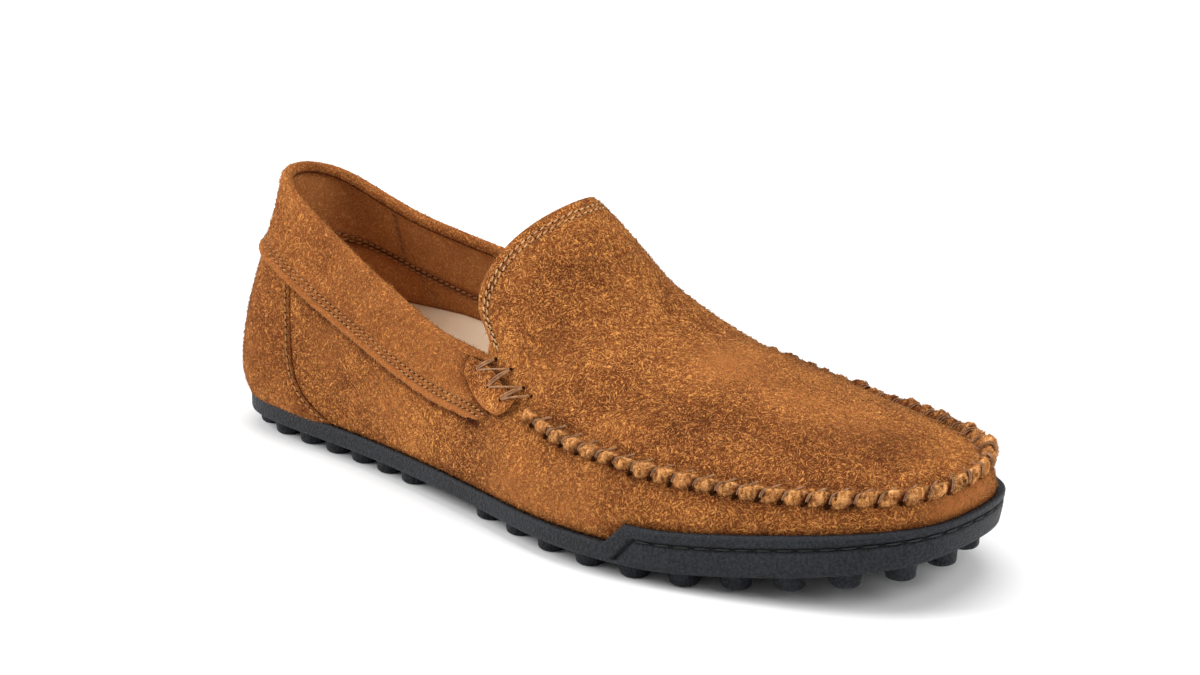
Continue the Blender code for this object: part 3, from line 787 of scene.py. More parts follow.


# Painted light and painted shade: lighter and darker patches of the nap: surface, row, share, radius, mark,
# strength
SHADES = (
    ("apron", 11.0, 0.97, 12.0, "wear_and_painted_light", 0.75),
    ("apron", 12.4, 0.97, 12.0, "wear_and_painted_light", 0.4),
    ("apron", 14.0, 0.95, 11.0, "wear_and_painted_light", 0.3),
    ("apron", 8.7, 0.30, 10.0, "wear_and_painted_light", 0.2),
    ("apron", 8.3, 0.78, 15.0, "painted_shade", 0.22),
    ("apron", 9.0, 0.48, 13.0, "painted_shade", 0.2),
    ("apron", 10.2, 0.36, 13.0, "painted_shade", 0.28),
    ("apron", 11.2, 0.34, 14.0, "painted_shade", 0.32),
    ("apron", 12.6, 0.45, 15.0, "painted_shade", 0.34),
    ("apron", 14.4, 0.50, 15.0, "painted_shade", 0.42),
    ("apron", 16.4, 0.55, 13.0, "painted_shade", 0.22),
    ("apron", 21.0, 0.35, 15.0, "painted_shade", 0.2),
    ("apron", 24.0, 0.60, 14.0, "painted_shade", 0.14),
    ("wall", 8.3, 0.22, 14.0, "wear_and_painted_light", 0.45),
    ("wall", 9.5, 0.30, 12.0, "wear_and_painted_light", 0.4),
    ("wall", 10.4, 0.70, 12.0, "painted_shade", 0.26),
    ("wall", 12.0, 0.60, 14.0, "painted_shade", 0.17),
    ("wall", 13.6, 0.60, 13.0, "painted_shade", 0.14),
    ("wall", 15.2, 0.55, 11.0, "wear_and_painted_light", 0.75),
    ("wall", 16.4, 0.55, 11.0, "wear_and_painted_light", 0.75),
    ("wall", 7.0, 0.55, 10.0, "painted_shade", 0.14),
    ("wall", 4.8, 0.42, 15.0, "wear_and_painted_light", 0.45),
    ("wall", 3.4, 0.50, 12.0, "wear_and_painted_light", 0.4),
    ("wall", -8.6, 0.25, 15.0, "wear_and_painted_light", 0.35),
    ("wall", -12.6, 0.60, 15.0, "painted_shade", 0.16),
)
# Marks of the nap: wear and painted light, and painted shade
MARKS = ("wear_and_painted_light", "painted_shade")
MOST_MARKED = 0.9

# Painted shade beside the gathered seam: strength, how much less at the toe, distance from the seam, half
# width
SEWN_STRENGTH = 0.32
SEWN_TOE_LESS = 0.18
SEWN_AWAY = 3.4
SEWN_HALF = 2.4


def shaded(points, kind, mark):
    """Strength of one mark of one surface at each point."""
    total = np.zeros(points.shape[:-1])
    for name, row, share, radius, shade, strength in SHADES:
        if name == kind and shade == mark:
            total += strength * bell(distance(points, SURFACES[kind](row, share)), radius)
    return total


def sewn_shade(station, far):
    """How much painted shade darkens the leather beside the gathered seam, at a distance from it."""
    strength = SEWN_STRENGTH - SEWN_TOE_LESS * smooth(row_of(station), *SEAM_TOE_ROWS)
    return np.where(gathered(station), strength * bell(far - SEWN_AWAY, SEWN_HALF), 0.0)


# Upper: one shell of wall and apron
WALL_COLUMNS = 43
APRON_COLUMNS = 41
STATIONS_PER_ROW = 16

# Gathers beside the seam: height, length; and uneven leather: height, size, seed
RIPPLE = (0.45, 5.5)
UNEVEN_WALL = (0.35, 30.0, 0.0)
UNEVEN_APRON = (0.4, 34.0, 5.0)

# Parts of the wall and apron over which the creases fade out at their edges
WALL_FOOT_FADE = 0.12
WALL_TOP_FADE = 0.93
APRON_FADE = 0.06

# Dark lines on the wall below the cuff, above the sole and round the ears: strength, half width
CUFF_SHADOW = (0.85, 1.6)
CUFF_SHADOW_DROP = 0.8
CUFF_SHADOW_ROWS = 7.02
SOLE_SHADOW = (0.4, 1.3)
EAR_SHADOW = (0.7, 1.6)


def seam_ripple(station, far):
    """Gathers that run out from the puckers into the leather on both sides."""
    height, length = RIPPLE
    wave = height * np.cos(2.0 * np.pi * (seam_phase(station) - 0.5))
    return np.where(gathered(station), wave * np.exp(-far / length), 0.0)


def wall_shadows(around, side):
    """Dark lines where other pieces meet the wall."""
    down = walked(side[:, ::-1])[:, ::-1]
    tuck = line_mark(down - CUFF.at(around)[..., 0] - CUFF_SHADOW_DROP, *CUFF_SHADOW)
    joint = edge_mark(np.clip(side[..., 2] - sole_top(around), 0.0, None), *SOLE_SHADOW)
    return tuck * (row_of(around) < CUFF_SHADOW_ROWS) + joint + line_mark(ear_gap(side), *EAR_SHADOW)


def add_upper():
    count = 2 * TOE * STATIONS_PER_ROW
    station = np.arange(count) / STATIONS_PER_ROW
    around, up = np.meshgrid(station, np.linspace(0.0, 1.0, WALL_COLUMNS), indexing="ij")
    side = wall(around, up)
    far = distance(side, side[:, -1:])
    lift = creased(side, "wall") + seam_ripple(around, far) + uneven(side, *UNEVEN_WALL)
    fade = smooth(up, 0.0, WALL_FOOT_FADE) * (1.0 - smooth(up, WALL_TOP_FADE, 1.0))
    # Painted light and painted shade on the wall: patches, a band beside the seam, and shadow lines
    side_marks = {mark: shaded(side, "wall", mark) for mark in MARKS}
    side_marks["painted_shade"] = side_marks["painted_shade"] + sewn_shade(around, far) + wall_shadows(around, side)
    side = side + (lift * fade)[..., None] * normal_of(wall, around, up)
    first, last = THROAT * STATIONS_PER_ROW, (2 * TOE - THROAT) * STATIONS_PER_ROW
    over_share = np.linspace(0.0, 1.0, APRON_COLUMNS)[1:]
    over_station, over_share = np.meshgrid(station[first : last + 1], over_share, indexing="ij")
    over = apron(over_station, over_share)
    far = distance(over, TOP.at(over_station))
    lift = creased(over, "apron") + seam_ripple(over_station, far) + uneven(over, *UNEVEN_APRON)
    lift = lift * smooth(over_share, 0.0, APRON_FADE)
    # Painted light and painted shade on the apron: patches and a band beside the seam
    over_marks = {mark: shaded(over, "apron", mark) for mark in MARKS}
    over_marks["painted_shade"] = over_marks["painted_shade"] + sewn_shade(over_station, far)
    over = over + lift[..., None] * apron_out(over_station, over_share)
    middle = TOE * STATIONS_PER_ROW - first
    over[middle + 1 :, -1] = over[:middle, -1][::-1]

    # The apron's first column is the wall's top, and both its sides share the crest
    index = np.empty((len(over), APRON_COLUMNS), int)
    index[:, 0] = (np.arange(first, last + 1) % count) * WALL_COLUMNS + WALL_COLUMNS - 1
    inner = APRON_COLUMNS - 2
    index[:, 1:-1] = count * WALL_COLUMNS + np.arange(len(over) * inner).reshape(len(over), inner)
    crest = count * WALL_COLUMNS + len(over) * inner + np.arange(middle + 1)
    index[: middle + 1, -1] = crest
    index[middle:, -1] = crest[::-1]
    points = (side.reshape(-1, 3), over[:, :-1].reshape(-1, 3), over[: middle + 1, -1])
    faces = np.concatenate([grid_faces(count, WALL_COLUMNS, closed=True), quads_between(index)])
    marks = {}
    for mark in MARKS:
        over_mark = over_marks[mark]
        values = (side_marks[mark].ravel(), over_mark[:, :-1].ravel(), over_mark[: middle + 1, -1])
        marks[mark] = np.clip(np.concatenate(values), 0.0, MOST_MARKED)
    materials = (SUEDE, LINING, CUT_SUEDE)
    piece = new_piece("upper_suede", np.concatenate(points), faces.tolist(), materials, marks)
    thicken(piece, WALL, inner=1, rim=2)
    add_to_shoe(piece, "upper_suede", "upper")


# Cuff round the topline
CUFF_STATIONS = 480
CUFF_OUTSIDE = 36
CUFF_OUTSIDE_END = 0.02
CUFF_ROLL = 12
CUFF_INSIDE = (0.11, 0.55, 1.1)
CUFF_LIP = 0.6
CUFF_LIP_SHARE = 0.35
CUFF_ROLL_UP = 0.5
CUFF_END_START = 0.87
CUFF_LAST_ROW = 6.5
CUFF_ROLL_END = 6.95

# Stitched lower edge of the cuff: rows of stitches; height and reach of flare, puff, turned edge and press
CUFF_STITCH_ROWS = (3.0, 4.9)
CUFF_FLARE = (1.1, 7.0)
CUFF_PUFF = (0.45, 0.9)
CUFF_PUFF_UP = 1.3
CUFF_EDGE_ROLL = (0.7, 0.4)
CUFF_PRESS = (0.35, 0.7)

# Ragged edge and uneven leather of the cuff: height, size, seed
CUFF_RAGGED = ((0.55, 2.6, 0.0), (0.35, 1.3, 6.0))
CUFF_RAGGED_FROM = 0.85
CUFF_UNEVEN = (0.35, 16.0, 3.0)
CUFF_FRAYED = (0.2, 1.8, 8.0)
CUFF_FRAYED_REACH = 2.0

# Cuff under the ear: depth and half width of its press, strength and half width of the painted shadow line
EAR_PRESS = (0.9, 2.6)
EAR_SHADOW_LINE = (0.9, 2.0)

# Rubbed places of the cuff: on the roll, on the outside, at the edge with its half width, and at the front
CUFF_WORN_ROLL = 0.2
CUFF_WORN = 0.1
CUFF_WORN_EDGE = (0.9, 2.0)
CUFF_WORN_FRONT = 0.2
CUFF_WORN_FRONT_PARTS = (0.4, 0.8)
# Painted shade in the pressed rows of stitches and inside the lip
CUFF_PRESS_SHADE = 0.25
CUFF_INSIDE_SHADE = 0.8

# Front end of the cuff behind and below the ear: distance below the wall's top, row
CUFF_FRONT = (
    (0.0, 6.52),
    (2.6, 6.49),
    (5.7, 6.51),
    (8.7, 6.66),
    (11.0, 6.83),
    (12.0, 7.02),
    (12.6, 7.34),
    (13.6, 7.36),
    (15.4, 7.22),
    (17.0, 7.02),
    (18.2, 6.78),
)


def cuff_station(part, front):
    """Station of a share of the cuff's length, drawn out to its front end only near that end."""
    reach = smooth(np.abs(part), CUFF_END_START, 1.0)
    return CUFF_LAST_ROW * part + np.sign(part) * (front - CUFF_LAST_ROW) * reach


def cuff_lift(edge_gap):
    """How far the cuff stands off its plain thickness, by distance from its lower edge, and its sewn rows."""
    puffed = line_mark(edge_gap - CUFF_PUFF_UP, *CUFF_PUFF) - edge_mark(edge_gap, *CUFF_EDGE_ROLL)
    depth, half = CUFF_PRESS
    pressed = sum(bell(edge_gap - row, half) for row in CUFF_STITCH_ROWS)
    flare, length = CUFF_FLARE
    return puffed - depth * pressed + flare * (1.0 - smooth(edge_gap, 0.0, length)), pressed


def add_cuff():
    part = np.linspace(-1.0, 1.0, CUFF_STATIONS)[:, None]
    share = np.linspace(1.0, CUFF_OUTSIDE_END, CUFF_OUTSIDE)[None, :]
    drop = CUFF.at(CUFF_LAST_ROW * part)[..., 0]
    fringe = on_wall(CUFF_LAST_ROW * part, drop)[0]
    ragged = sum(uneven(fringe, *layer) for layer in CUFF_RAGGED)
    down = share * drop + ragged * smooth(share, CUFF_RAGGED_FROM, 1.0)
    station = cuff_station(part, lookup(CUFF_FRONT, down))
    edge_gap = drop - down
    offset = GAP + CUFF_THICK
    outside, out = on_wall(station, down, np.full(station.shape, offset))
    lift, pressed = cuff_lift(edge_gap)
    ear_far = ear_gap(outside)
    lift = lift - line_mark(ear_far, *EAR_PRESS)
    frayed = uneven(outside, *CUFF_FRAYED) * np.exp(-edge_gap / CUFF_FRAYED_REACH)
    outside = outside + (lift + uneven(outside, *CUFF_UNEVEN) + frayed)[..., None] * out
    here = cuff_station(part[:, 0], CUFF_ROLL_END)
    top = wall(here, 1.0)
    out = normal_of(wall, here, np.ones(len(here)))
    rise = unit(top - wall(here, 1.0 - SLOPE_STEP))
    radius = 0.5 * (WALL + CUFF_LIP + offset)
    middle = top + (offset - radius) * out + CUFF_ROLL_UP * rise
    angle = np.radians(np.linspace(0.0, 180.0, CUFF_ROLL))[None, :, None]
    roll = middle[:, None] + radius * (np.cos(angle) * out[:, None] + np.sin(angle) * rise[:, None])
    inside = on_wall(here[:, None], np.array(CUFF_INSIDE), -WALL - CUFF_LIP)[0]
    points = np.concatenate([outside, roll, inside], axis=1)
    rows, columns = points.shape[:2]
    wear_and_painted_light = np.full((rows, columns), CUFF_WORN_ROLL)
    wear_and_painted_light[:, :CUFF_OUTSIDE] = line_mark(edge_gap, *CUFF_WORN_EDGE) + CUFF_WORN
    wear_and_painted_light[:, :CUFF_OUTSIDE] += CUFF_WORN_FRONT * smooth(part, *CUFF_WORN_FRONT_PARTS)
    sewn = CUFF_PRESS_SHADE * np.clip(pressed, 0.0, 1.0)
    # Painted shade in the stitched rows, along the ear's edge and inside the lip
    painted_shade = np.zeros((rows, columns))
    painted_shade[:, :CUFF_OUTSIDE] = np.maximum(sewn, line_mark(ear_far, *EAR_SHADOW_LINE))
    painted_shade[:, -2:] = CUFF_INSIDE_SHADE
    faces = grid_faces(rows, columns)
    piece = new_piece("cuff_suede", points, faces, (VELVET_SUEDE, CUT_SUEDE), {"wear_and_painted_light": wear_and_painted_light, "painted_shade": painted_shade})
    lip = np.arange(rows * columns).reshape(rows, columns)[:, CUFF_OUTSIDE + CUFF_ROLL // 2 :]
    thicken(piece, CUFF_THICK, rim=1, thin=lip.ravel(), thin_share=CUFF_LIP_SHARE)
    add_to_shoe(piece, "trim_suede", "collar_cuff")


# Counter over the heel: thin at its edges, with painted shade over it and a painted shadow line round it
COUNTER_STATIONS = 161
COUNTER_COLUMNS = 41
COUNTER_SEEN_THICK = 0.4
COUNTER_EDGE_SHARE = 0.32
COUNTER_EDGE_REACH = 7.0
COUNTER_UNEVEN = (0.3, 22.0, 9.0)
COUNTER_UNEVEN_REACH = 12.0
COUNTER_SHADE = 0.15
COUNTER_SHADOW_LINE = (0.45, 0.5)


def counter_place(part, share):
    """Station and wall share of a point on the counter, from its middle to its edges, from sole to cuff."""
    station = part * lookup(COUNTER_EDGE, share)
    low = up_wall(station, plate_top(EDGE.at(station)[..., 0]) + STRIP_LIP)
    high = down_wall(station, CUFF.at(station)[..., 0] - COUNTER_CLEAR)
    return station, low + share * (high - low)


def add_counter():
    parts, shares = np.linspace(-1.0, 1.0, COUNTER_STATIONS), np.linspace(0.0, 1.0, COUNTER_COLUMNS)
    part, share = np.meshgrid(parts, shares, indexing="ij")
    station, at = counter_place(part, share)
    points = wall(station, at)
    edge = distance(points, np.where(part[..., None] < 0.0, points[:1], points[-1:]))
    thick = COUNTER_EDGE_SHARE + (1.0 - COUNTER_EDGE_SHARE) * smooth(edge, 0.0, COUNTER_EDGE_REACH)
    lift = (COUNTER_GAP + COUNTER_THICK) * thick
    lift = lift + uneven(points, *COUNTER_UNEVEN) * smooth(edge, 0.0, COUNTER_UNEVEN_REACH)
    points = points + lift[..., None] * normal_of(wall, station, at)
    # Painted shade over the counter and a painted shadow line round its edge
    marks = {"painted_shade": COUNTER_SHADE + edge_mark(edge, *COUNTER_SHADOW_LINE)}
    faces = grid_faces(COUNTER_STATIONS, COUNTER_COLUMNS)
    piece = new_piece("counter_suede", points, faces, (VELVET_SUEDE, CUT_SUEDE), marks)
    thicken(piece, COUNTER_SEEN_THICK)
    add_to_shoe(piece, "upper_suede", "heel_counter")


# Ears of the vamp, turned down at their edges
TAB_ROWS = 41
TAB_COLUMNS = 37
TAB_TOP = 0.1
TAB_DEPTH = 12.1
TAB_SAMPLES = 40
EAR_LIFT = 0.6
EAR_TURN = (0.75, 0.8)
EAR_UNEVEN = (0.15, 2.4, 0.0)

# Marks of an ear: rubbed rim below these depths; painted shade round the holes and at the top, and a painted
# shadow line behind: strength, reach
EAR_WORN = (0.8, 1.4)
EAR_WORN_DEPTHS = (5.0, 9.0)
EAR_PRICKED = (0.3, 1.6)
EAR_TOP_SHADE = (0.25, 8.0)
EAR_REAR_SHADOW = (0.6, 0.6)
EAR_MOST_DEEP = 0.8

# Outline of an ear: distance below the wall's top, rear row, front row
EAR_OUTLINE = (
    (0.0, 6.58, 8.27),
    (2.6, 6.53, 8.23),
    (5.7, 6.55, 8.12),
    (8.7, 6.70, 7.92),
    (10.4, 6.82, 7.66),
    (11.4, 6.93, 7.44),
    (TAB_DEPTH, 7.08, 7.24),
)


def ear_gap(points):
    """Distance from each point to the free edge of the nearer ear."""
    fine = np.linspace(0.0, TAB_DEPTH, TAB_SAMPLES)
    down = np.concatenate([fine, fine[::-1]])
    row = np.concatenate([lookup(EAR_OUTLINE, fine), lookup(EAR_OUTLINE, fine[::-1], 2)])
    far = np.full(points.shape[:-1], SOLE_LENGTH)
    for side in (1.0, -1.0):
        for place in on_wall(side * row, down, GAP + 0.5 * TAB_THICK)[0]:
            far = np.minimum(far, distance(points, place))
    return far


def add_tab(name, side, cad_node):
    down = np.linspace(TAB_TOP, TAB_DEPTH, TAB_ROWS)[:, None]
    part = np.sin(np.linspace(-0.5, 0.5, TAB_COLUMNS) * math.pi)[None, :]
    rear, front = lookup(EAR_OUTLINE, down), lookup(EAR_OUTLINE, down, 2)
    station = side * (rear + 0.5 * (1.0 + part) * (front - rear))
    down = np.broadcast_to(down, station.shape)
    points = on_wall(station, down)[0]
    rear_gap = distance(points, points[:, :1])
    edge = np.minimum(np.minimum(rear_gap, distance(points, points[:, -1:])), TAB_DEPTH - down)
    turn, reach = EAR_TURN
    lift = GAP + TAB_THICK + EAR_LIFT - edge_mark(edge, turn, reach) + uneven(points, *EAR_UNEVEN)
    points = on_wall(station, down, lift)[0]
    holes = [on_wall(side * row, hole_down)[0] for row, hole_down in EAR_HOLES]
    # Painted shade round the lace holes and at the top, and a painted shadow line along the rear edge
    pricked = sum(edge_mark(distance(points, hole), *EAR_PRICKED) for hole in holes)
    strength, reach = EAR_TOP_SHADE
    top = strength * (1.0 - smooth(down, 0.0, reach))
    painted_shade = pricked + top + edge_mark(rear_gap, *EAR_REAR_SHADOW)
    wear_and_painted_light = edge_mark(edge, *EAR_WORN) * smooth(down, *EAR_WORN_DEPTHS)
    marks = {"wear_and_painted_light": wear_and_painted_light, "painted_shade": np.clip(painted_shade, 0.0, EAR_MOST_DEEP)}
    faces = grid_faces(TAB_ROWS, TAB_COLUMNS)
    piece = new_piece(name, points, faces[:, ::-1] if side > 0 else faces, (SUEDE, CUT_SUEDE), marks)
    thicken(piece, TAB_THICK + EAR_LIFT - turn, rim=1)
    add_to_shoe(piece, "trim_suede", cad_node)


# Gathered seam: its mesh, slant of the puckers, and how far they reach down the wall and up the apron
SEAM_COLUMNS = 27
SEAM_STEPS_PER_PUCKER = 18
PUCKER_SLANT = 0.25
WALL_SIDE_REACH = 1.15
APRON_SIDE_REACH = 0.55
APRON_NEAR = 0.1

# Puckers: roundness, depth of the gaps and its change across, share of the gap that is filled at the toe
PUCKER_ROUND = 1.7
PUCKER_GAP = 0.95
PUCKER_GAP_TURN = 0.45
PUCKER_GAP_LEAST = 0.55
TOE_FILL = 0.6
PUCKER_ENDS = 0.4

# Height of the puckers at the lateral side, what the medial corner and the toe add, and chance: least, spread
PUCKER_SIDE_RISE = 0.85
PUCKER_MEDIAL_RISE = 0.55
PUCKER_TOE_RISE = 0.27
PUCKER_CHANCE_RISE = (0.75, 0.5)
PUCKER_CHANCE_REACH = (0.86, 0.28)
MEDIAL_RISE_ROWS = (TOE + 0.5, TOE + 2.0)
MEDIAL_FALL_ROWS = (TOE + 3.0, TOE + 5.0)
MEDIAL_FALL = 0.6

# Numbers that draw the chance of each pucker
PUCKER_DRAW = (12.9898, 4.1, 43758.5453)

# Fibrous skin of the puckers: streaks across them, their size, and two noises: height, size, seed
STREAK_HEIGHT = 0.45
STREAK_SIZE = 0.75
STREAK_DRAW = 0.35
PUCKER_FUZZ = ((0.8, 2.3, 4.0), (0.5, 1.1, 2.0))
MEDIAL_DARK_ROWS = (TOE + 1.0, TOE + 4.5)
SEAM_MOST_DEEP = 0.97

# Marks of the puckers: a painted highlight on the crowns and paler streaks of fibre, both less where the
# medial side is in painted shade; painted shade in the gaps, at the seam's edges and on the medial side, less
# on raised fuzz
SEAM_CROWN_HIGHLIGHT = 0.3
SEAM_WORN_STREAK = 1.1
SEAM_WORN_LESS = 0.05
SEAM_PALE_LESS_IN_MEDIAL_SHADE = 0.8
SEAM_DEEP_GAP = 1.5
SEAM_DEEP_GAP_TURN = 0.5
SEAM_DEEP_EDGE = 0.5
SEAM_PALE_FUZZ = 0.6
SEAM_DEEP_MEDIAL = 0.45


def seam_surface(phase, across, least=0.0):
    """Points of the gathered roll: across is -1 at its wall edge and 1 at its apron edge.

    Puckers are flat at the sides, higher at the medial corner of the toe, and at its tip they run together.
    """
    station = seam_station(phase)
    toe = smooth(row_of(station), *SEAM_TOE_ROWS)
    medial = smooth(station, *MEDIAL_RISE_ROWS) * (1.0 - MEDIAL_FALL * smooth(station, *MEDIAL_FALL_ROWS))
    slanted = phase - PUCKER_SLANT * across
    number = np.floor(slanted)
    turn, start, spread = PUCKER_DRAW
    chance = np.sin(number * turn + start) * spread
    chance = chance - np.floor(chance)
    apart = np.abs(2.0 * (slanted - number) - 1.0) ** PUCKER_ROUND
    crown = np.maximum(np.sqrt(1.0 - apart), least)
    gap = np.clip(PUCKER_GAP - PUCKER_GAP_TURN * across, PUCKER_GAP_LEAST, 1.0) * (1.0 - TOE_FILL * toe)
    bead = np.clip(1.0 - np.minimum(gap * apart, 1.0 - least) - across**2, 0.0, None) ** 0.5
    grown = PUCKER_SIDE_RISE + PUCKER_MEDIAL_RISE * medial + PUCKER_TOE_RISE * toe * (1.0 - medial)
    full = SEAM_RISE * grown * (PUCKER_CHANCE_RISE[0] + PUCKER_CHANCE_RISE[1] * chance)
    reach = SEAM_REACH * (PUCKER_CHANCE_REACH[0] + PUCKER_CHANCE_REACH[1] * chance)
    ends = smooth(phase, 0.0, PUCKER_ENDS) * (1.0 - smooth(phase, PUCKERS - PUCKER_ENDS, PUCKERS))
    low = on_wall(station, np.clip(-across, 0.0, None) * reach * WALL_SIDE_REACH)[0]
    length = distance(apron(station, APRON_NEAR), TOP.at(station))
    high = apron(station, APRON_NEAR * np.clip(across, 0.0, None) * reach * APRON_SIDE_REACH / length)
    lean = (0.5 + 0.5 * across)[..., None]
    wall_out = normal_of(wall, station, np.ones(station.shape))
    out = unit((1.0 - lean) * wall_out + lean * apron_out(station, np.full(station.shape, SLOPE_STEP)))
    rise = ends * full * bead
    return low + high - TOP.at(station) + (0.5 * GAP + rise)[..., None] * out, crown, out


def add_moc_seam():
    rows = PUCKERS * SEAM_STEPS_PER_PUCKER + 1
    phases, acrosses = np.linspace(0.0, PUCKERS, rows), np.linspace(-1.0, 1.0, SEAM_COLUMNS)
    phase, across = np.meshgrid(phases, acrosses, indexing="ij")
    points, crown, out = seam_surface(phase, across)
    flat = np.stack([phase * PUCKER_PITCH, STREAK_DRAW * SEAM_REACH * across, np.zeros(phase.shape)], axis=-1)
    streaks = rough(flat, STREAK_SIZE)
    fuzz = STREAK_HEIGHT * streaks
    for layer in PUCKER_FUZZ:
        fuzz = fuzz + uneven(points, *layer)
    medial = smooth(seam_station(phase), *MEDIAL_DARK_ROWS)
    points = points + (fuzz * np.clip(1.0 - across**4, 0.0, None))[..., None] * out
    # Painted highlight on the crowns with paler fibre streaks; painted shade in the gaps, at the edges and on
    # the medial side
    crown_highlight_and_streaks = SEAM_CROWN_HIGHLIGHT * crown + SEAM_WORN_STREAK * streaks - SEAM_WORN_LESS
    wear_and_painted_light = crown_highlight_and_streaks * (1.0 - SEAM_PALE_LESS_IN_MEDIAL_SHADE * medial)
    gaps = SEAM_DEEP_GAP * (1.0 - crown) * (1.0 - SEAM_DEEP_GAP_TURN * across)
    painted_shade = gaps + SEAM_DEEP_EDGE * across**6 - SEAM_PALE_FUZZ * fuzz + SEAM_DEEP_MEDIAL * medial
    marks = {"wear_and_painted_light": np.clip(wear_and_painted_light, 0.0, 1.0), "painted_shade": np.clip(painted_shade, 0.0, SEAM_MOST_DEEP)}
    piece = new_piece("gathered_seam", points, grid_faces(rows, SEAM_COLUMNS), (SEAM_SUEDE,), marks)
    thicken(piece, 0.5 * GAP, even=False)
    add_to_shoe(piece, "trim_suede", "moc_seam")


# Footbed, with its cupped edge: distance from the edge, share of the rise
INSOLE_STATIONS = 384
INSOLE_GAP = 0.5
INSOLE_SIDE = 5
INSOLE_CUP = ((0.6, 1.0), (1.6, 0.93), (3.0, 0.8), (5.0, 0.55), (8.0, 0.27), (12.0, 0.1), (17.0, 0.02))


def ladder(ring, turned):
    """Faces across a closed ring, from each lateral point to the medial point of the same row."""
    count = len(ring)
    faces = []
    for step in range(count // 2):
        face = [ring[step], ring[step + 1], ring[count - step - 1], ring[(count - step) % count]]
        face = list(dict.fromkeys(face))
        faces.append(tuple(reversed(face)) if turned else tuple(face))
    return faces


def closed_rings(count, columns):
    """Faces of a solid made of closed rings, with its first and last ring filled."""
    order = np.arange(count) * columns
    ends = ladder(order.tolist(), True) + ladder((order + columns - 1).tolist(), False)
    return grid_faces(count, columns, closed=True).tolist() + ends


def add_insole():
    station = np.arange(INSOLE_STATIONS) * 2.0 * TOE / INSOLE_STATIONS
    x = EDGE.at(station)[:, 0]
    thick, lateral, medial = (lookup(FOOTBED, x, column) for column in (1, 2, 3))
    turn = 0.5 * np.clip(row_of(station), 0.0, 1.0)
    lean = np.where(station <= TOE, 0.5 + turn, 0.5 - turn)
    rise = lean * lateral + (1.0 - lean) * medial
    base = plate_top(x)
    level = np.linspace(0.0, 1.0, INSOLE_SIDE)[None, :]
    height = base[:, None] + GAP + level * (thick + rise - GAP)[:, None]
    around = np.repeat(station[:, None], INSOLE_SIDE, axis=1)
    share = up_wall(around, height)
    side = wall(around, share) - (WALL + INSOLE_GAP) * normal_of(wall, around, share)
    side[..., 2] = height
    rings = [side[:, column] for column in range(INSOLE_SIDE)]
    for inset, lift in INSOLE_CUP:
        ring = side[:, -1] - inset * outward(station)
        ring[:, 2] = base + thick + lift * rise
        rings.append(ring)
    faces = closed_rings(INSOLE_STATIONS, len(rings))
    piece = new_piece("footbed_sock", np.stack(rings, axis=1), faces, (SOCK,))
    add_to_shoe(piece, "sock_leather", "insole")


# Outsole: plate, strip, bumper with its stitched groove, and studs
SOLE_STEPS_PER_ROW = 28
SIDE_LEVELS = 30
BOTTOM_ROUND = 1.6
TOP_ROUND = 0.7
ROUND_STEPS = 4
RIM_SINK = 0.25
RIM_LEAST = 0.9
RIM_HIGHLIGHT = 0.6
GROOVE_TURN = (10.14, 10.46)
GROOVE_START = 0.02
GROOVE_LOWEST = -3.0

# Tip of the toe: how far its face tapers in and its lip drops, and the rows over which they do
TOE_TAPER = 2.8
TOE_TAPER_ROWS = (12.5, 15.5)
TOE_TAPER_POWER = 1.5
TOE_LIP_DROP = 1.4
TOE_LIP_ROWS = (12.0, 15.0)


def sole_top(station):
    low = sole_low(EDGE.at(station)[..., 0])
    drop = TOE_LIP_DROP * smooth(row_of(station), *TOE_LIP_ROWS)
    return low + PLATE + STRIP_LIP + bumper_share(station) * (BUMPER_HEIGHT - PLATE - STRIP_LIP) - drop


def groove_height(station):
    """Height of the bumper's groove, which slants down to the sole's lower edge at its rear end."""
    low = sole_low(EDGE.at(station)[..., 0])
    level = low + BUMPER_HEIGHT - GROOVE_DROP
    start, full = GROOVE_TURN
    share = (row_of(station) - start) / (full - start)
    return low + (level - low) * np.clip(share, GROOVE_LOWEST, 1.0)


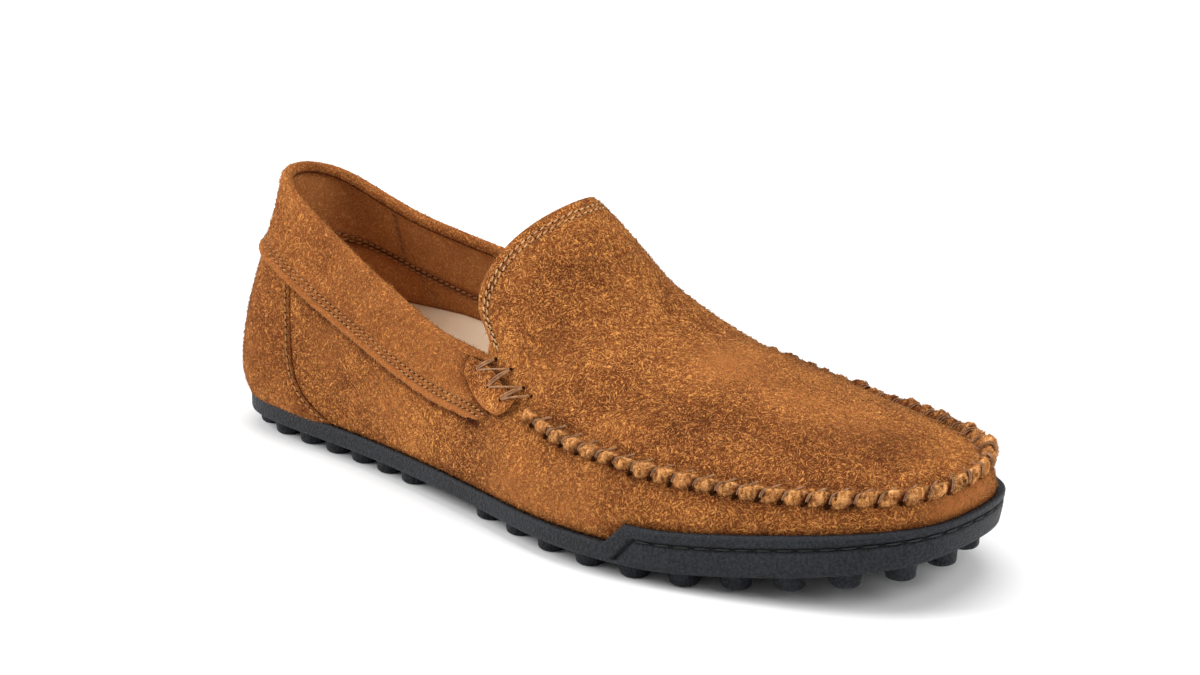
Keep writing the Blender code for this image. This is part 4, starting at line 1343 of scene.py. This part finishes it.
def add_outsole():
    count = 2 * TOE * SOLE_STEPS_PER_ROW
    station = np.arange(count) / SOLE_STEPS_PER_ROW
    edge, out = EDGE.at(station), outward(station)
    low, high = sole_low(edge[:, 0]), sole_top(station)
    rounds = np.radians(np.linspace(0.0, 90.0, ROUND_STEPS))
    offsets, heights, sunk = [], [], []
    for angle in rounds:
        offsets.append(-BOTTOM_ROUND * (1.0 - math.sin(angle)))
        heights.append(low + BOTTOM_ROUND * (1.0 - math.cos(angle)))
    slope = np.gradient(groove_height(station)) / np.linalg.norm(np.gradient(edge, axis=0), axis=1)
    slant = 1.0 / np.sqrt(1.0 + slope**2)
    inside = smooth(row_of(station), GROOVE_TURN[0] - GROOVE_START, GROOVE_TURN[0] + GROOVE_START)
    for level in np.linspace(0.0, 1.0, SIDE_LEVELS + 2)[1:-1]:
        height = low + BOTTOM_ROUND + level * (high - TOP_ROUND - low - BOTTOM_ROUND)
        sunk.append(inside * bell(np.abs(height - groove_height(station)) * slant, GROOVE_HALF))
        offsets.append(-GROOVE_DEPTH * sunk[-1])
        heights.append(height)
    touch = wall(station, up_wall(station, high))
    inner = ((touch[:, :2] - edge) * out[:, :2]).sum(axis=1) + GAP
    for angle in rounds:
        offsets.append(-TOP_ROUND * (1.0 - math.cos(angle)))
        heights.append(high - TOP_ROUND * (1.0 - math.sin(angle)))
    offsets[-1] = np.maximum(inner + RIM_SINK, -RIM_LEAST)
    offsets += [inner, -rim_width(station)]
    heights += [high - RIM_SINK, plate_top(edge[:, 0])]
    offset = np.stack([np.broadcast_to(values, (count,)) for values in offsets], axis=1)
    height = np.stack(heights, axis=1)
    below = np.clip((high[:, None] - height) / (high - low)[:, None], 0.0, 1.0)
    offset = offset - TOE_TAPER * smooth(row_of(station), *TOE_TAPER_ROWS)[:, None] * below**TOE_TAPER_POWER
    base = np.concatenate([edge, np.zeros((count, 1))], axis=1)
    points = base[:, None] + offset[..., None] * out[:, None] + height[..., None] * UP
    columns = points.shape[1]
    top = ROUND_STEPS + SIDE_LEVELS
    wear_and_painted_light, painted_shade = np.zeros((count, columns)), np.zeros((count, columns))
    # Painted highlight along the top rim, and painted shade in the stitched groove
    wear_and_painted_light[:, top - 1 : top + 3] = RIM_HIGHLIGHT
    painted_shade[:, ROUND_STEPS:top] = np.stack(sunk, axis=1)
    faces = closed_rings(count, columns)
    piece = new_piece("outsole_rubber", points, faces, (RUBBER,), {"wear_and_painted_light": wear_and_painted_light, "painted_shade": painted_shade})
    add_to_shoe(piece, "sole_rubber", "outsole")


def stud_centres(insets, spacing, reach):
    """Studs evenly spaced in rows that follow the sole's edge, each row further in."""
    fine = np.linspace(0.0, 2.0 * TOE, EDGE_SAMPLES, endpoint=False)
    if reach[0] < 0.0:
        fine = fine - TOE
    edge = EDGE.at(fine)
    sides = outward(fine)[:, :2]
    toe_turn = smooth(row_of(fine), *TOE_STUD_ROWS)
    centres = []
    for inset in insets:
        row = edge - (inset + TOE_STUD_INSET * toe_turn)[:, None] * sides
        depth = np.array([distance(edge, point).min() for point in row])
        row = row[(row[:, 0] > reach[0]) & (row[:, 0] < reach[1]) & (depth > inset - STUD_ROW_SLACK)]
        length = walked(row)
        for place in np.linspace(0.0, length[-1], 1 + round(length[-1] / spacing)):
            point = np.array([np.interp(place, length, row[:, axis]) for axis in (0, 1)])
            if all(distance(point, other) > STUD_CLEARANCE for other in centres):
                centres.append(point)
    return centres


# Turned outline of a stud from its root to the middle of its face: radius and height
STUD_OUTLINE = (
    (5.6, 5.4),
    (5.05, 4.7),
    (4.9, 3.9),
    (4.72, 1.2),
    (4.5, 0.5),
    (4.05, 0.1),
    (3.5, 0.0),
    (2.6, 0.12),
    (1.3, 0.3),
)
STUD_SIDES = 28
STUD_CREASE = 50.0


def add_studs():
    angle = np.arange(STUD_SIDES) * 2.0 * np.pi / STUD_SIDES
    points, faces = [], []
    for x, y in stud_centres(**HEEL_STUDS) + stud_centres(**FOREFOOT_STUDS):
        start = len(points)
        for radius, height in STUD_OUTLINE:
            for turn in angle:
                points.append((x + radius * math.cos(turn), y + radius * math.sin(turn), height + spring(x)))
        rings = start + np.arange(len(STUD_OUTLINE) * STUD_SIDES).reshape(-1, STUD_SIDES)
        for low, high in zip(rings[:-1], rings[1:]):
            faces += zip(np.roll(low, -1), low, high, np.roll(high, -1))
        faces += [rings[-1][::-1], rings[0]]
    faces = [[int(point) for point in face] for face in faces]
    piece = new_piece("sole_studs", points, faces, (RUBBER,))
    piece.data.set_sharp_from_angle(angle=math.radians(STUD_CREASE))
    add_to_shoe(piece, "sole_rubber")


# Geometry Nodes: stitches in a row, thread along a path, and nap on a surface
def new_tree(name, inputs):
    """A geometry tree with a geometry input, named inputs and a geometry output."""
    tree = bpy.data.node_groups.new(name, "GeometryNodeTree")
    tree.interface.new_socket(name="Geometry", in_out="INPUT", socket_type="NodeSocketGeometry")
    for key, kind in inputs.items():
        tree.interface.new_socket(name=key, in_out="INPUT", socket_type="NodeSocket" + kind)
    tree.interface.new_socket(name="Geometry", in_out="OUTPUT", socket_type="NodeSocketGeometry")
    return tree, tree.nodes.new("NodeGroupInput").outputs


def end_tree(tree, geometry, material):
    """Ends a tree: instances made real, one material, smooth faces."""
    real = node(tree, "GeometryNodeRealizeInstances", {"Geometry": geometry}).outputs["Geometry"]
    even = node(tree, "GeometryNodeSetShadeSmooth", {"Geometry": real}).outputs["Geometry"]
    coat = node(tree, "GeometryNodeSetMaterial", {"Geometry": even, "Material": material})
    node(tree, "NodeGroupOutput", {"Geometry": coat.outputs["Geometry"]})
    return tree


def stitch_tree():
    """A small bowed stitch on each point, turned by the point's own direction and the way out."""
    tree, given = new_tree("stitch_row", {"Length": "Float", "Thickness": "Float", "Thread": "Material"})
    ball = node(tree, "GeometryNodeMeshUVSphere", {"Segments": 8, "Rings": 6, "Radius": 0.5})
    inputs = {"X": given["Length"], "Y": given["Thickness"], "Z": given["Thickness"]}
    size = node(tree, "ShaderNodeCombineXYZ", inputs).outputs["Vector"]
    stitch = node(tree, "GeometryNodeTransform", {"Geometry": ball.outputs["Mesh"], "Scale": size})
    along = node(tree, "GeometryNodeInputNamedAttribute", {"Name": "along"}, data_type="FLOAT_VECTOR")
    out = node(tree, "GeometryNodeInputNamedAttribute", {"Name": "out"}, data_type="FLOAT_VECTOR")
    inputs = {0: along.outputs["Attribute"], 1: out.outputs["Attribute"]}
    turn = node(tree, "FunctionNodeAxesToRotation", inputs, primary_axis="X", secondary_axis="Z")
    inputs = {"Points": given["Geometry"], "Instance": stitch.outputs["Geometry"]}
    inputs["Rotation"] = turn.outputs["Rotation"]
    placed = node(tree, "GeometryNodeInstanceOnPoints", inputs)
    return end_tree(tree, placed.outputs["Instances"], given["Thread"])


def thread_tree():
    """A round thread along each path."""
    tree, given = new_tree("thread_run", {"Radius": "Float", "Thread": "Material"})
    path = node(tree, "GeometryNodeMeshToCurve", {"Mesh": given["Geometry"]})
    ring = node(tree, "GeometryNodeCurvePrimitiveCircle", {"Resolution": 7, "Radius": given["Radius"]})
    inputs = {"Curve": path.outputs["Curve"], "Profile Curve": ring.outputs["Curve"], "Fill Caps": True}
    tube = node(tree, "GeometryNodeCurveToMesh", inputs)
    return end_tree(tree, tube.outputs["Mesh"], given["Thread"])


# How far the nap's fibres lean, in radians, and their lengths as shares of the usual one
NAP_LEAN = (0.85, 1.45)
NAP_LENGTHS = (0.5, 1.3)


def nap_tree():
    """Short raised fibres strewn over a surface, leaning every way."""
    sizes = {"Density": "Float", "Length": "Float", "Width": "Float"}
    tree, given = new_tree("suede_nap", {**sizes, "Seed": "Int", "Suede": "Material"})
    inputs = {"Mesh": given["Geometry"], "Density": given["Density"], "Seed": given["Seed"]}
    strewn = node(tree, "GeometryNodeDistributePointsOnFaces", inputs)
    inputs = {"Vertices": 3, "Radius Top": 0.0, "Radius Bottom": given["Width"], "Depth": given["Length"]}
    fibre = node(tree, "GeometryNodeMeshCone", inputs, fill_type="NGON")
    least, most = NAP_LEAN
    inputs = {0: (least, 0.0, 0.0), 1: (most, 0.0, 2.0 * math.pi), "Seed": SEED}
    lean = node(tree, "FunctionNodeRandomValue", inputs, data_type="FLOAT_VECTOR")
    lean = node(tree, "FunctionNodeEulerToRotation", {0: lean.outputs["Value"]})
    inputs = {0: strewn.outputs["Rotation"], 1: lean.outputs[0]}
    turn = node(tree, "FunctionNodeRotateRotation", inputs, rotation_space="LOCAL")
    inputs = {2: NAP_LENGTHS[0], 3: NAP_LENGTHS[1], "Seed": SEED + 1}
    scale = node(tree, "FunctionNodeRandomValue", inputs, data_type="FLOAT")
    inputs = {"Points": strewn.outputs["Points"], "Instance": fibre.outputs["Mesh"]}
    inputs |= {"Rotation": turn.outputs[0], "Scale": scale.outputs[1]}
    placed = node(tree, "GeometryNodeInstanceOnPoints", inputs)
    return end_tree(tree, placed.outputs["Instances"], given["Suede"])


STITCH_ROW = stitch_tree()
THREAD_RUN = thread_tree()
NAP = nap_tree()


def grow(piece, tree, **values):
    """Runs a tree on a piece with these inputs and keeps the result as a plain mesh."""
    made = piece.modifiers.new(tree.name, "NODES")
    made.node_group = tree
    sockets = {item.name: item.identifier for item in tree.interface.items_tree if item.in_out == "INPUT"}
    for key, value in values.items():
        made[sockets[key]] = value
    return settle(piece)


def add_paths(name, paths, joined, slant=0.0):
    """A piece of points that know their direction and the way out, joined into lines or loose."""
    points, edges, alongs, outs = [], [], [], []
    for path, along, out in paths:
        start = len(points)
        points += list(path)
        edges += [(start + step, start + step + 1) for step in range(len(path) - 1)] if joined else []
        alongs.append(along)
        outs.append(out)
    piece = new_piece(name, points, [], ())
    if edges:
        piece.data.edges.add(len(edges))
        piece.data.edges.foreach_set("vertices", np.array(edges).ravel())
    along, out = np.concatenate(alongs), np.concatenate(outs)
    along = unit(along + math.tan(math.radians(slant)) * np.cross(out, along))
    for key, values in (("along", along), ("out", out)):
        layer = piece.data.attributes.new(key, "FLOAT_VECTOR", "POINT")
        layer.data.foreach_set("vector", values.astype(np.float32).ravel())
    return piece


def spaced(path, out, pitch, phase=0.0):
    """Points at an even pitch along a path, with their direction and the way out."""
    length = walked(path)
    count = max(1, round(length[-1] / pitch))
    at = (np.arange(count) + 0.5 + phase) * length[-1] / count
    at = at[at < length[-1]]
    along = unit(np.gradient(path, axis=0))
    columns = [[np.interp(at, length, values[:, axis]) for axis in range(3)] for values in (path, along, out)]
    return [np.stack(column, axis=1) for column in columns]


def sew(name, paths, thread, length, thickness, slant=0.0):
    """One stitch or hole on each point of the paths."""
    piece = add_paths(name, paths, False, slant)
    grow(piece, STITCH_ROW, Thread=thread, Length=length * MM, Thickness=thickness * MM)
    add_to_shoe(piece, "sewing_thread")


def add_stitches(name, rows, thread, pitch, length, thickness, slant=0.0, sink=0.0, phase=0.0):
    """Rows of stitches along paths, each path with the way out of the surface that it lies on."""
    paths = [spaced(path - sink * out, out, pitch, phase) for path, out in rows]
    sew(name, paths, thread, length, thickness, slant)


def add_threads(name, runs, thread, radius):
    paths = [(path, unit(np.gradient(path, axis=0)), out) for path, out in runs]
    piece = add_paths(name, paths, True)
    grow(piece, THREAD_RUN, Thread=thread, Radius=radius * MM)
    add_to_shoe(piece, "sewing_thread")


# Rows of stitches: pitch, and length, thickness and slant in degrees of the stitches of each piece
PITCH = 2.5
CUFF_STITCH = (2.0, 0.62, 14.0)
FLAP_STITCH = (2.1, 0.62, 16.0)
COUNTER_STITCH = (2.1, 0.6, 12.0)
LINING_STITCH = (2.1, 0.6, 12.0)
BUMPER_STITCH = (6.5, 5.4, 0.7)
PRICK = (0.6, 0.45)
PRICK_SINK = 0.08

# Where the rows lie: inside the flap's edge, inside the counter's edge, below the wall's top, off the surface
PATH_STEP = 0.04
PATH_POINTS = 60
CUFF_PATH = (0.995, 640, 0.1)
FLAP_STITCH_ROWS = (3.5, 5.2)
FLAP_FOOT = 0.09
FLAP_STEPS = 41
FLAP_OFF = 0.2
COUNTER_STITCH_INSET = 1.9
COUNTER_STITCH_SHARES = (0.03, 0.97)
COUNTER_STITCH_OFF = 0.85
LINING_STITCH_ROWS = (23.0, 24.8)
LINING_LAST_ROW = 6.6
LINING_OFF = 0.1
BUMPER_STITCH_OFF = 0.3

# Zigzag seam of the lining: pitch, half width in rows, off the lining, radius, course in row and depth
ZIGZAG_PITCH = 1.3
ZIGZAG_HALF = 0.8 / 21.0
ZIGZAG_OFF = 0.12
ZIGZAG_RADIUS = 0.22
LINING_SEAM = (((2.6, 2.0), (2.58, 22.0)), ((2.8, 26.0), (3.2, 35.0)))


def flap_path(inset):
    """A path this far inside the flap's edge, from its lateral to its medial foot."""
    share = np.linspace(FLAP_FOOT, 1.0, PATH_POINTS)
    share = np.concatenate([share, np.linspace(1.0, FLAP_FOOT, PATH_POINTS)[1:]])
    steps = THROAT + np.linspace(0.0, 1.0, FLAP_STEPS)
    row = np.array([np.interp(inset, line, steps) for line in walked(apron(steps, share[:, None]))])
    station = np.where(np.arange(len(share)) < PATH_POINTS, row, 2.0 * TOE - row)
    out = apron_out(station, share)
    return apron(station, share) + FLAP_OFF * out, out


def counter_path(side):
    """A path just inside one edge of the counter, from the sole to the cuff."""
    share = np.linspace(*COUNTER_STITCH_SHARES, PATH_POINTS)
    station, at = counter_place(np.full(PATH_POINTS, side), share)
    row_length = distance(wall(station + SLOPE_STEP, at), wall(station, at)) / SLOPE_STEP
    station = station - side * COUNTER_STITCH_INSET / row_length
    out = normal_of(wall, station, at)
    return wall(station, at) + COUNTER_STITCH_OFF * out, out


def inside_path(station, down, off):
    """A path on the lining."""
    points, out = on_wall(station, down, -WALL - off)
    return points, -out


def add_sewn_rows(name, rows, thread, stitch):
    """Rows of stitches with dark dots of painted shade for the needle holes between them."""
    add_stitches(name, rows, thread, PITCH, *stitch)
    add_stitches(name + "_pricks", rows, HOLE_SHADE, PITCH, *PRICK, sink=PRICK_SINK, phase=0.5)


def add_stitch_rows():
    last, count, off = CUFF_PATH
    part = np.linspace(-last, last, count)
    drop = CUFF.at(CUFF_LAST_ROW * part)[:, 0]
    rows = []
    for up in CUFF_STITCH_ROWS:
        station = cuff_station(part, lookup(CUFF_FRONT, drop - up))
        rows.append(on_wall(station, drop - up, GAP + CUFF_THICK + cuff_lift(up)[0] + off))
    add_sewn_rows("cuff_stitches", rows, TAN_THREAD, CUFF_STITCH)
    rows = [flap_path(inset) for inset in FLAP_STITCH_ROWS]
    add_sewn_rows("flap_stitches", rows, FLAP_THREAD, FLAP_STITCH)
    rows = [counter_path(side) for side in (-1.0, 1.0)]
    add_sewn_rows("counter_stitches", rows, TAN_THREAD, COUNTER_STITCH)
    station = np.arange(-LINING_LAST_ROW, LINING_LAST_ROW, PATH_STEP)
    rows = [inside_path(station, down, LINING_OFF) for down in LINING_STITCH_ROWS]
    add_sewn_rows("lining_stitches", rows, LINING_THREAD, LINING_STITCH)
    rows = []
    for side in (-1.0, 1.0):
        for (row, down), (end_row, end_down) in LINING_SEAM:
            turns = round((end_down - down) / ZIGZAG_PITCH)
            share = np.linspace(0.0, 1.0, turns + 1)
            sway = ZIGZAG_HALF * (-1.0) ** np.arange(turns + 1)
            station = side * (row + share * (end_row - row) + sway)
            rows.append(inside_path(station, down + share * (end_down - down), ZIGZAG_OFF))
    add_threads("lining_zigzag", rows, LINING_THREAD, ZIGZAG_RADIUS)
    station = np.arange(GROOVE_TURN[1], 2.0 * TOE - GROOVE_TURN[1], PATH_STEP)
    out = outward(station)
    points = np.concatenate([EDGE.at(station), groove_height(station)[:, None]], axis=1)
    points = points - (GROOVE_DEPTH - BUMPER_STITCH_OFF) * out
    add_stitches("bumper_stitches", [(points, out)], SOLE_THREAD, *BUMPER_STITCH)


# Loops of the moccasin seam's thread: course across the puckers, lean, place, least height, radius, strands
LOOP_ACROSS = np.linspace(-0.6, 1.7, 15)
LOOP_LEAN = 0.55
LOOP_INWARDS = (0.05, 0.12)
LOOP_SHIFT = 0.09
LOOP_LEAST = 0.4
LOOP_RADIUS = 0.24
LOOP_OFF = 0.25
LOOP_SINK = 0.45
STRAND_GAP = 0.56

# Holes of the lacing: row and depth on the ear, row and share on the apron; and its runs: ear, hole, strands
EAR_HOLES = ((6.80, 3.3), (7.26, 5.4), (7.94, 3.8))
APRON_HOLES = ((7.30, 0.055), (8.02, 0.1), (8.40, 0.082), (8.58, 0.078))
LACE_RUNS = ((0, 0, 2), (0, 1, 1), (1, 1, 2), (1, 2, 1), (2, 2, 2), (2, 3, 1))
LACE_RADIUS = 0.4
LACE_SPREAD = 0.4
LACE_LIFT = 1.6
LACE_END = -0.3
LACE_BOW = 0.6
LACE_POINTS = 13

# Holes, dark dots of painted shade: length, thickness, and how far they stand off the ear, the apron and the
# seam
LACE_HOLE = (1.4, 1.2)
EAR_HOLE_OFF = -0.12
APRON_HOLE_OFF = -0.02
AWL_HOLE = (2.5, 1.5)
AWL_HOLE_OFF = 0.15
AWL_HOLE_ACROSS = (-0.78, -0.4)


def add_seam_threads():
    runs = []
    across = np.clip(LOOP_ACROSS, -1.0, 1.0)
    beyond = np.clip(LOOP_ACROSS - 1.0, 0.0, None)[:, None]
    for number in range(1, PUCKERS):
        phase = number + LOOP_SHIFT + PUCKER_SLANT * across + LOOP_LEAN * beyond[:, 0]
        station = seam_station(phase)
        inwards = unit(apron(station, LOOP_INWARDS[1]) - apron(station, LOOP_INWARDS[0]))
        for strand in (-0.5, 0.5):
            points, _, out = seam_surface(phase + strand * STRAND_GAP / PUCKER_PITCH, across, LOOP_LEAST)
            points = points + LOOP_OFF * out + beyond * SEAM_REACH * inwards - LOOP_SINK * beyond * out
            runs.append((points, out))
    add_threads("seam_thread", runs, WAXED_THREAD, LOOP_RADIUS)


def ear_point(side, row, down, lift):
    return on_wall(side * row, down, GAP + TAB_THICK + EAR_LIFT + lift)


def apron_point(side, row, share, lift):
    station, share = np.array(row if side > 0 else 2.0 * TOE - row), np.array(share)
    out = apron_out(station, share)
    return apron(station, share) + lift * out, out


def add_lacing():
    runs = []
    share = np.linspace(0.0, 1.0, LACE_POINTS)[:, None]
    bow = np.sin(np.pi * share) ** LACE_BOW
    for side in (1.0, -1.0):
        for ear, hole, strands in LACE_RUNS:
            start, start_out = ear_point(side, *EAR_HOLES[ear], LACE_END)
            end, end_out = apron_point(side, *APRON_HOLES[hole], LACE_END)
            out = unit((1.0 - share) * start_out + share * end_out)
            across = unit(np.cross(end - start, start_out + end_out))
            for strand in np.arange(strands) - 0.5 * (strands - 1.0):
                apart = 2.0 * strand * LACE_SPREAD * bow * across
                runs.append((start + share * (end - start) + LACE_LIFT * bow * out + apart, out))
    add_threads("ear_lacing", runs, LACE_THREAD, LACE_RADIUS)


def add_holes():
    places = []
    for side in (1.0, -1.0):
        places += [ear_point(side, row, down, EAR_HOLE_OFF) for row, down in EAR_HOLES]
        places += [apron_point(side, row, share, APRON_HOLE_OFF) for row, share in APRON_HOLES]
    forward = np.array([[1.0, 0.0, 0.0]])
    sew("lace_holes", [(point[None], forward, out[None]) for point, out in places], HOLE_SHADE, *LACE_HOLE)
    number = np.arange(1, PUCKERS)
    low, high = (np.full(len(number), part) for part in AWL_HOLE_ACROSS)
    points, _, out = seam_surface(number + PUCKER_SLANT * low, low)
    along = unit(seam_surface(number + PUCKER_SLANT * high, high)[0] - points)
    sew("awl_holes", [(points + AWL_HOLE_OFF * out, along, out)], HOLE_SHADE, *AWL_HOLE)


# Raised fibres of the nap: piece, suede, fibres for each square millimetre, length, half width, slot
NAPS = (
    ("upper_suede", NAP_FIBRE, 0.85, 1.7, 0.11, "upper_suede"),
    ("counter_suede", NAP_FIBRE, 0.85, 1.5, 0.1, "upper_suede"),
    ("cuff_suede", NAP_FIBRE, 1.0, 1.4, 0.1, "trim_suede"),
    ("ear_lateral", NAP_FIBRE, 1.5, 1.3, 0.09, "trim_suede"),
    ("ear_medial", NAP_FIBRE, 1.5, 1.3, 0.09, "trim_suede"),
    ("gathered_seam", SEAM_SUEDE, 3.2, 1.5, 0.07, "trim_suede"),
)


def add_naps():
    for number, (name, material, density, length, width, slot) in enumerate(NAPS):
        piece = bpy.data.objects.new(name + "_nap", SKINS[name])
        link(piece)
        sizes = {"Density": density / MM**2, "Length": length * MM, "Width": width * MM}
        grow(piece, NAP, Suede=material, Seed=SEED + number, **sizes)
        add_to_shoe(piece, slot)


# Floor, light and surroundings in metres: name, place, size and power of each light
FLOOR_HALF = 4.0
LIGHTS = (
    ("left", (-1.3, -1.0, 1.2), 1.3, 35.0),
    ("right", (1.5, 0.1, 1.1), 1.3, 18.0),
    ("top", (-0.1, 0.3, 1.9), 1.8, 24.0),
)
LIGHT_AIM = (0.0, 0.0, 0.04)
WORLD_STRENGTH = 0.42


def add_stage():
    corners = [(x * FLOOR_HALF, y * FLOOR_HALF, 0.0) for x, y in ((-1, -1), (1, -1), (1, 1), (-1, 1))]
    mesh = bpy.data.meshes.new("floor")
    mesh.from_pydata(corners, [], [(0, 1, 2, 3)])
    material, tree, shader = new_material("pale_floor")
    fill(tree, shader, {"Base Color": linear("#F7F7F7"), "Roughness": 0.9})
    mesh.materials.append(material)
    floor = bpy.data.objects.new("floor", mesh)
    link(floor)
    world = bpy.data.worlds.new("studio")
    world.use_nodes = True
    background = {"Color": linear("#FFFFFF"), "Strength": WORLD_STRENGTH}
    fill(world.node_tree, world.node_tree.nodes["Background"], background)
    bpy.context.scene.world = world
    for name, place, size, power in LIGHTS:
        lamp = bpy.data.lights.new(name, "AREA")
        lamp.shape = "DISK"
        lamp.size = size
        lamp.energy = power
        light = bpy.data.objects.new(name, lamp)
        light.location = place
        light.rotation_euler = (Vector(LIGHT_AIM) - Vector(place)).to_track_quat("-Z", "Y").to_euler()
        link(light)
    bpy.context.scene.view_settings.view_transform = "Standard"


add_camera()
add_stage()
add_upper()
add_cuff()
add_counter()
add_tab("ear_lateral", 1.0, "vamp_tab_lateral")
add_tab("ear_medial", -1.0, "vamp_tab_medial")
add_moc_seam()
add_insole()
add_outsole()
add_studs()
add_stitch_rows()
add_seam_threads()
add_lacing()
add_holes()
add_naps()
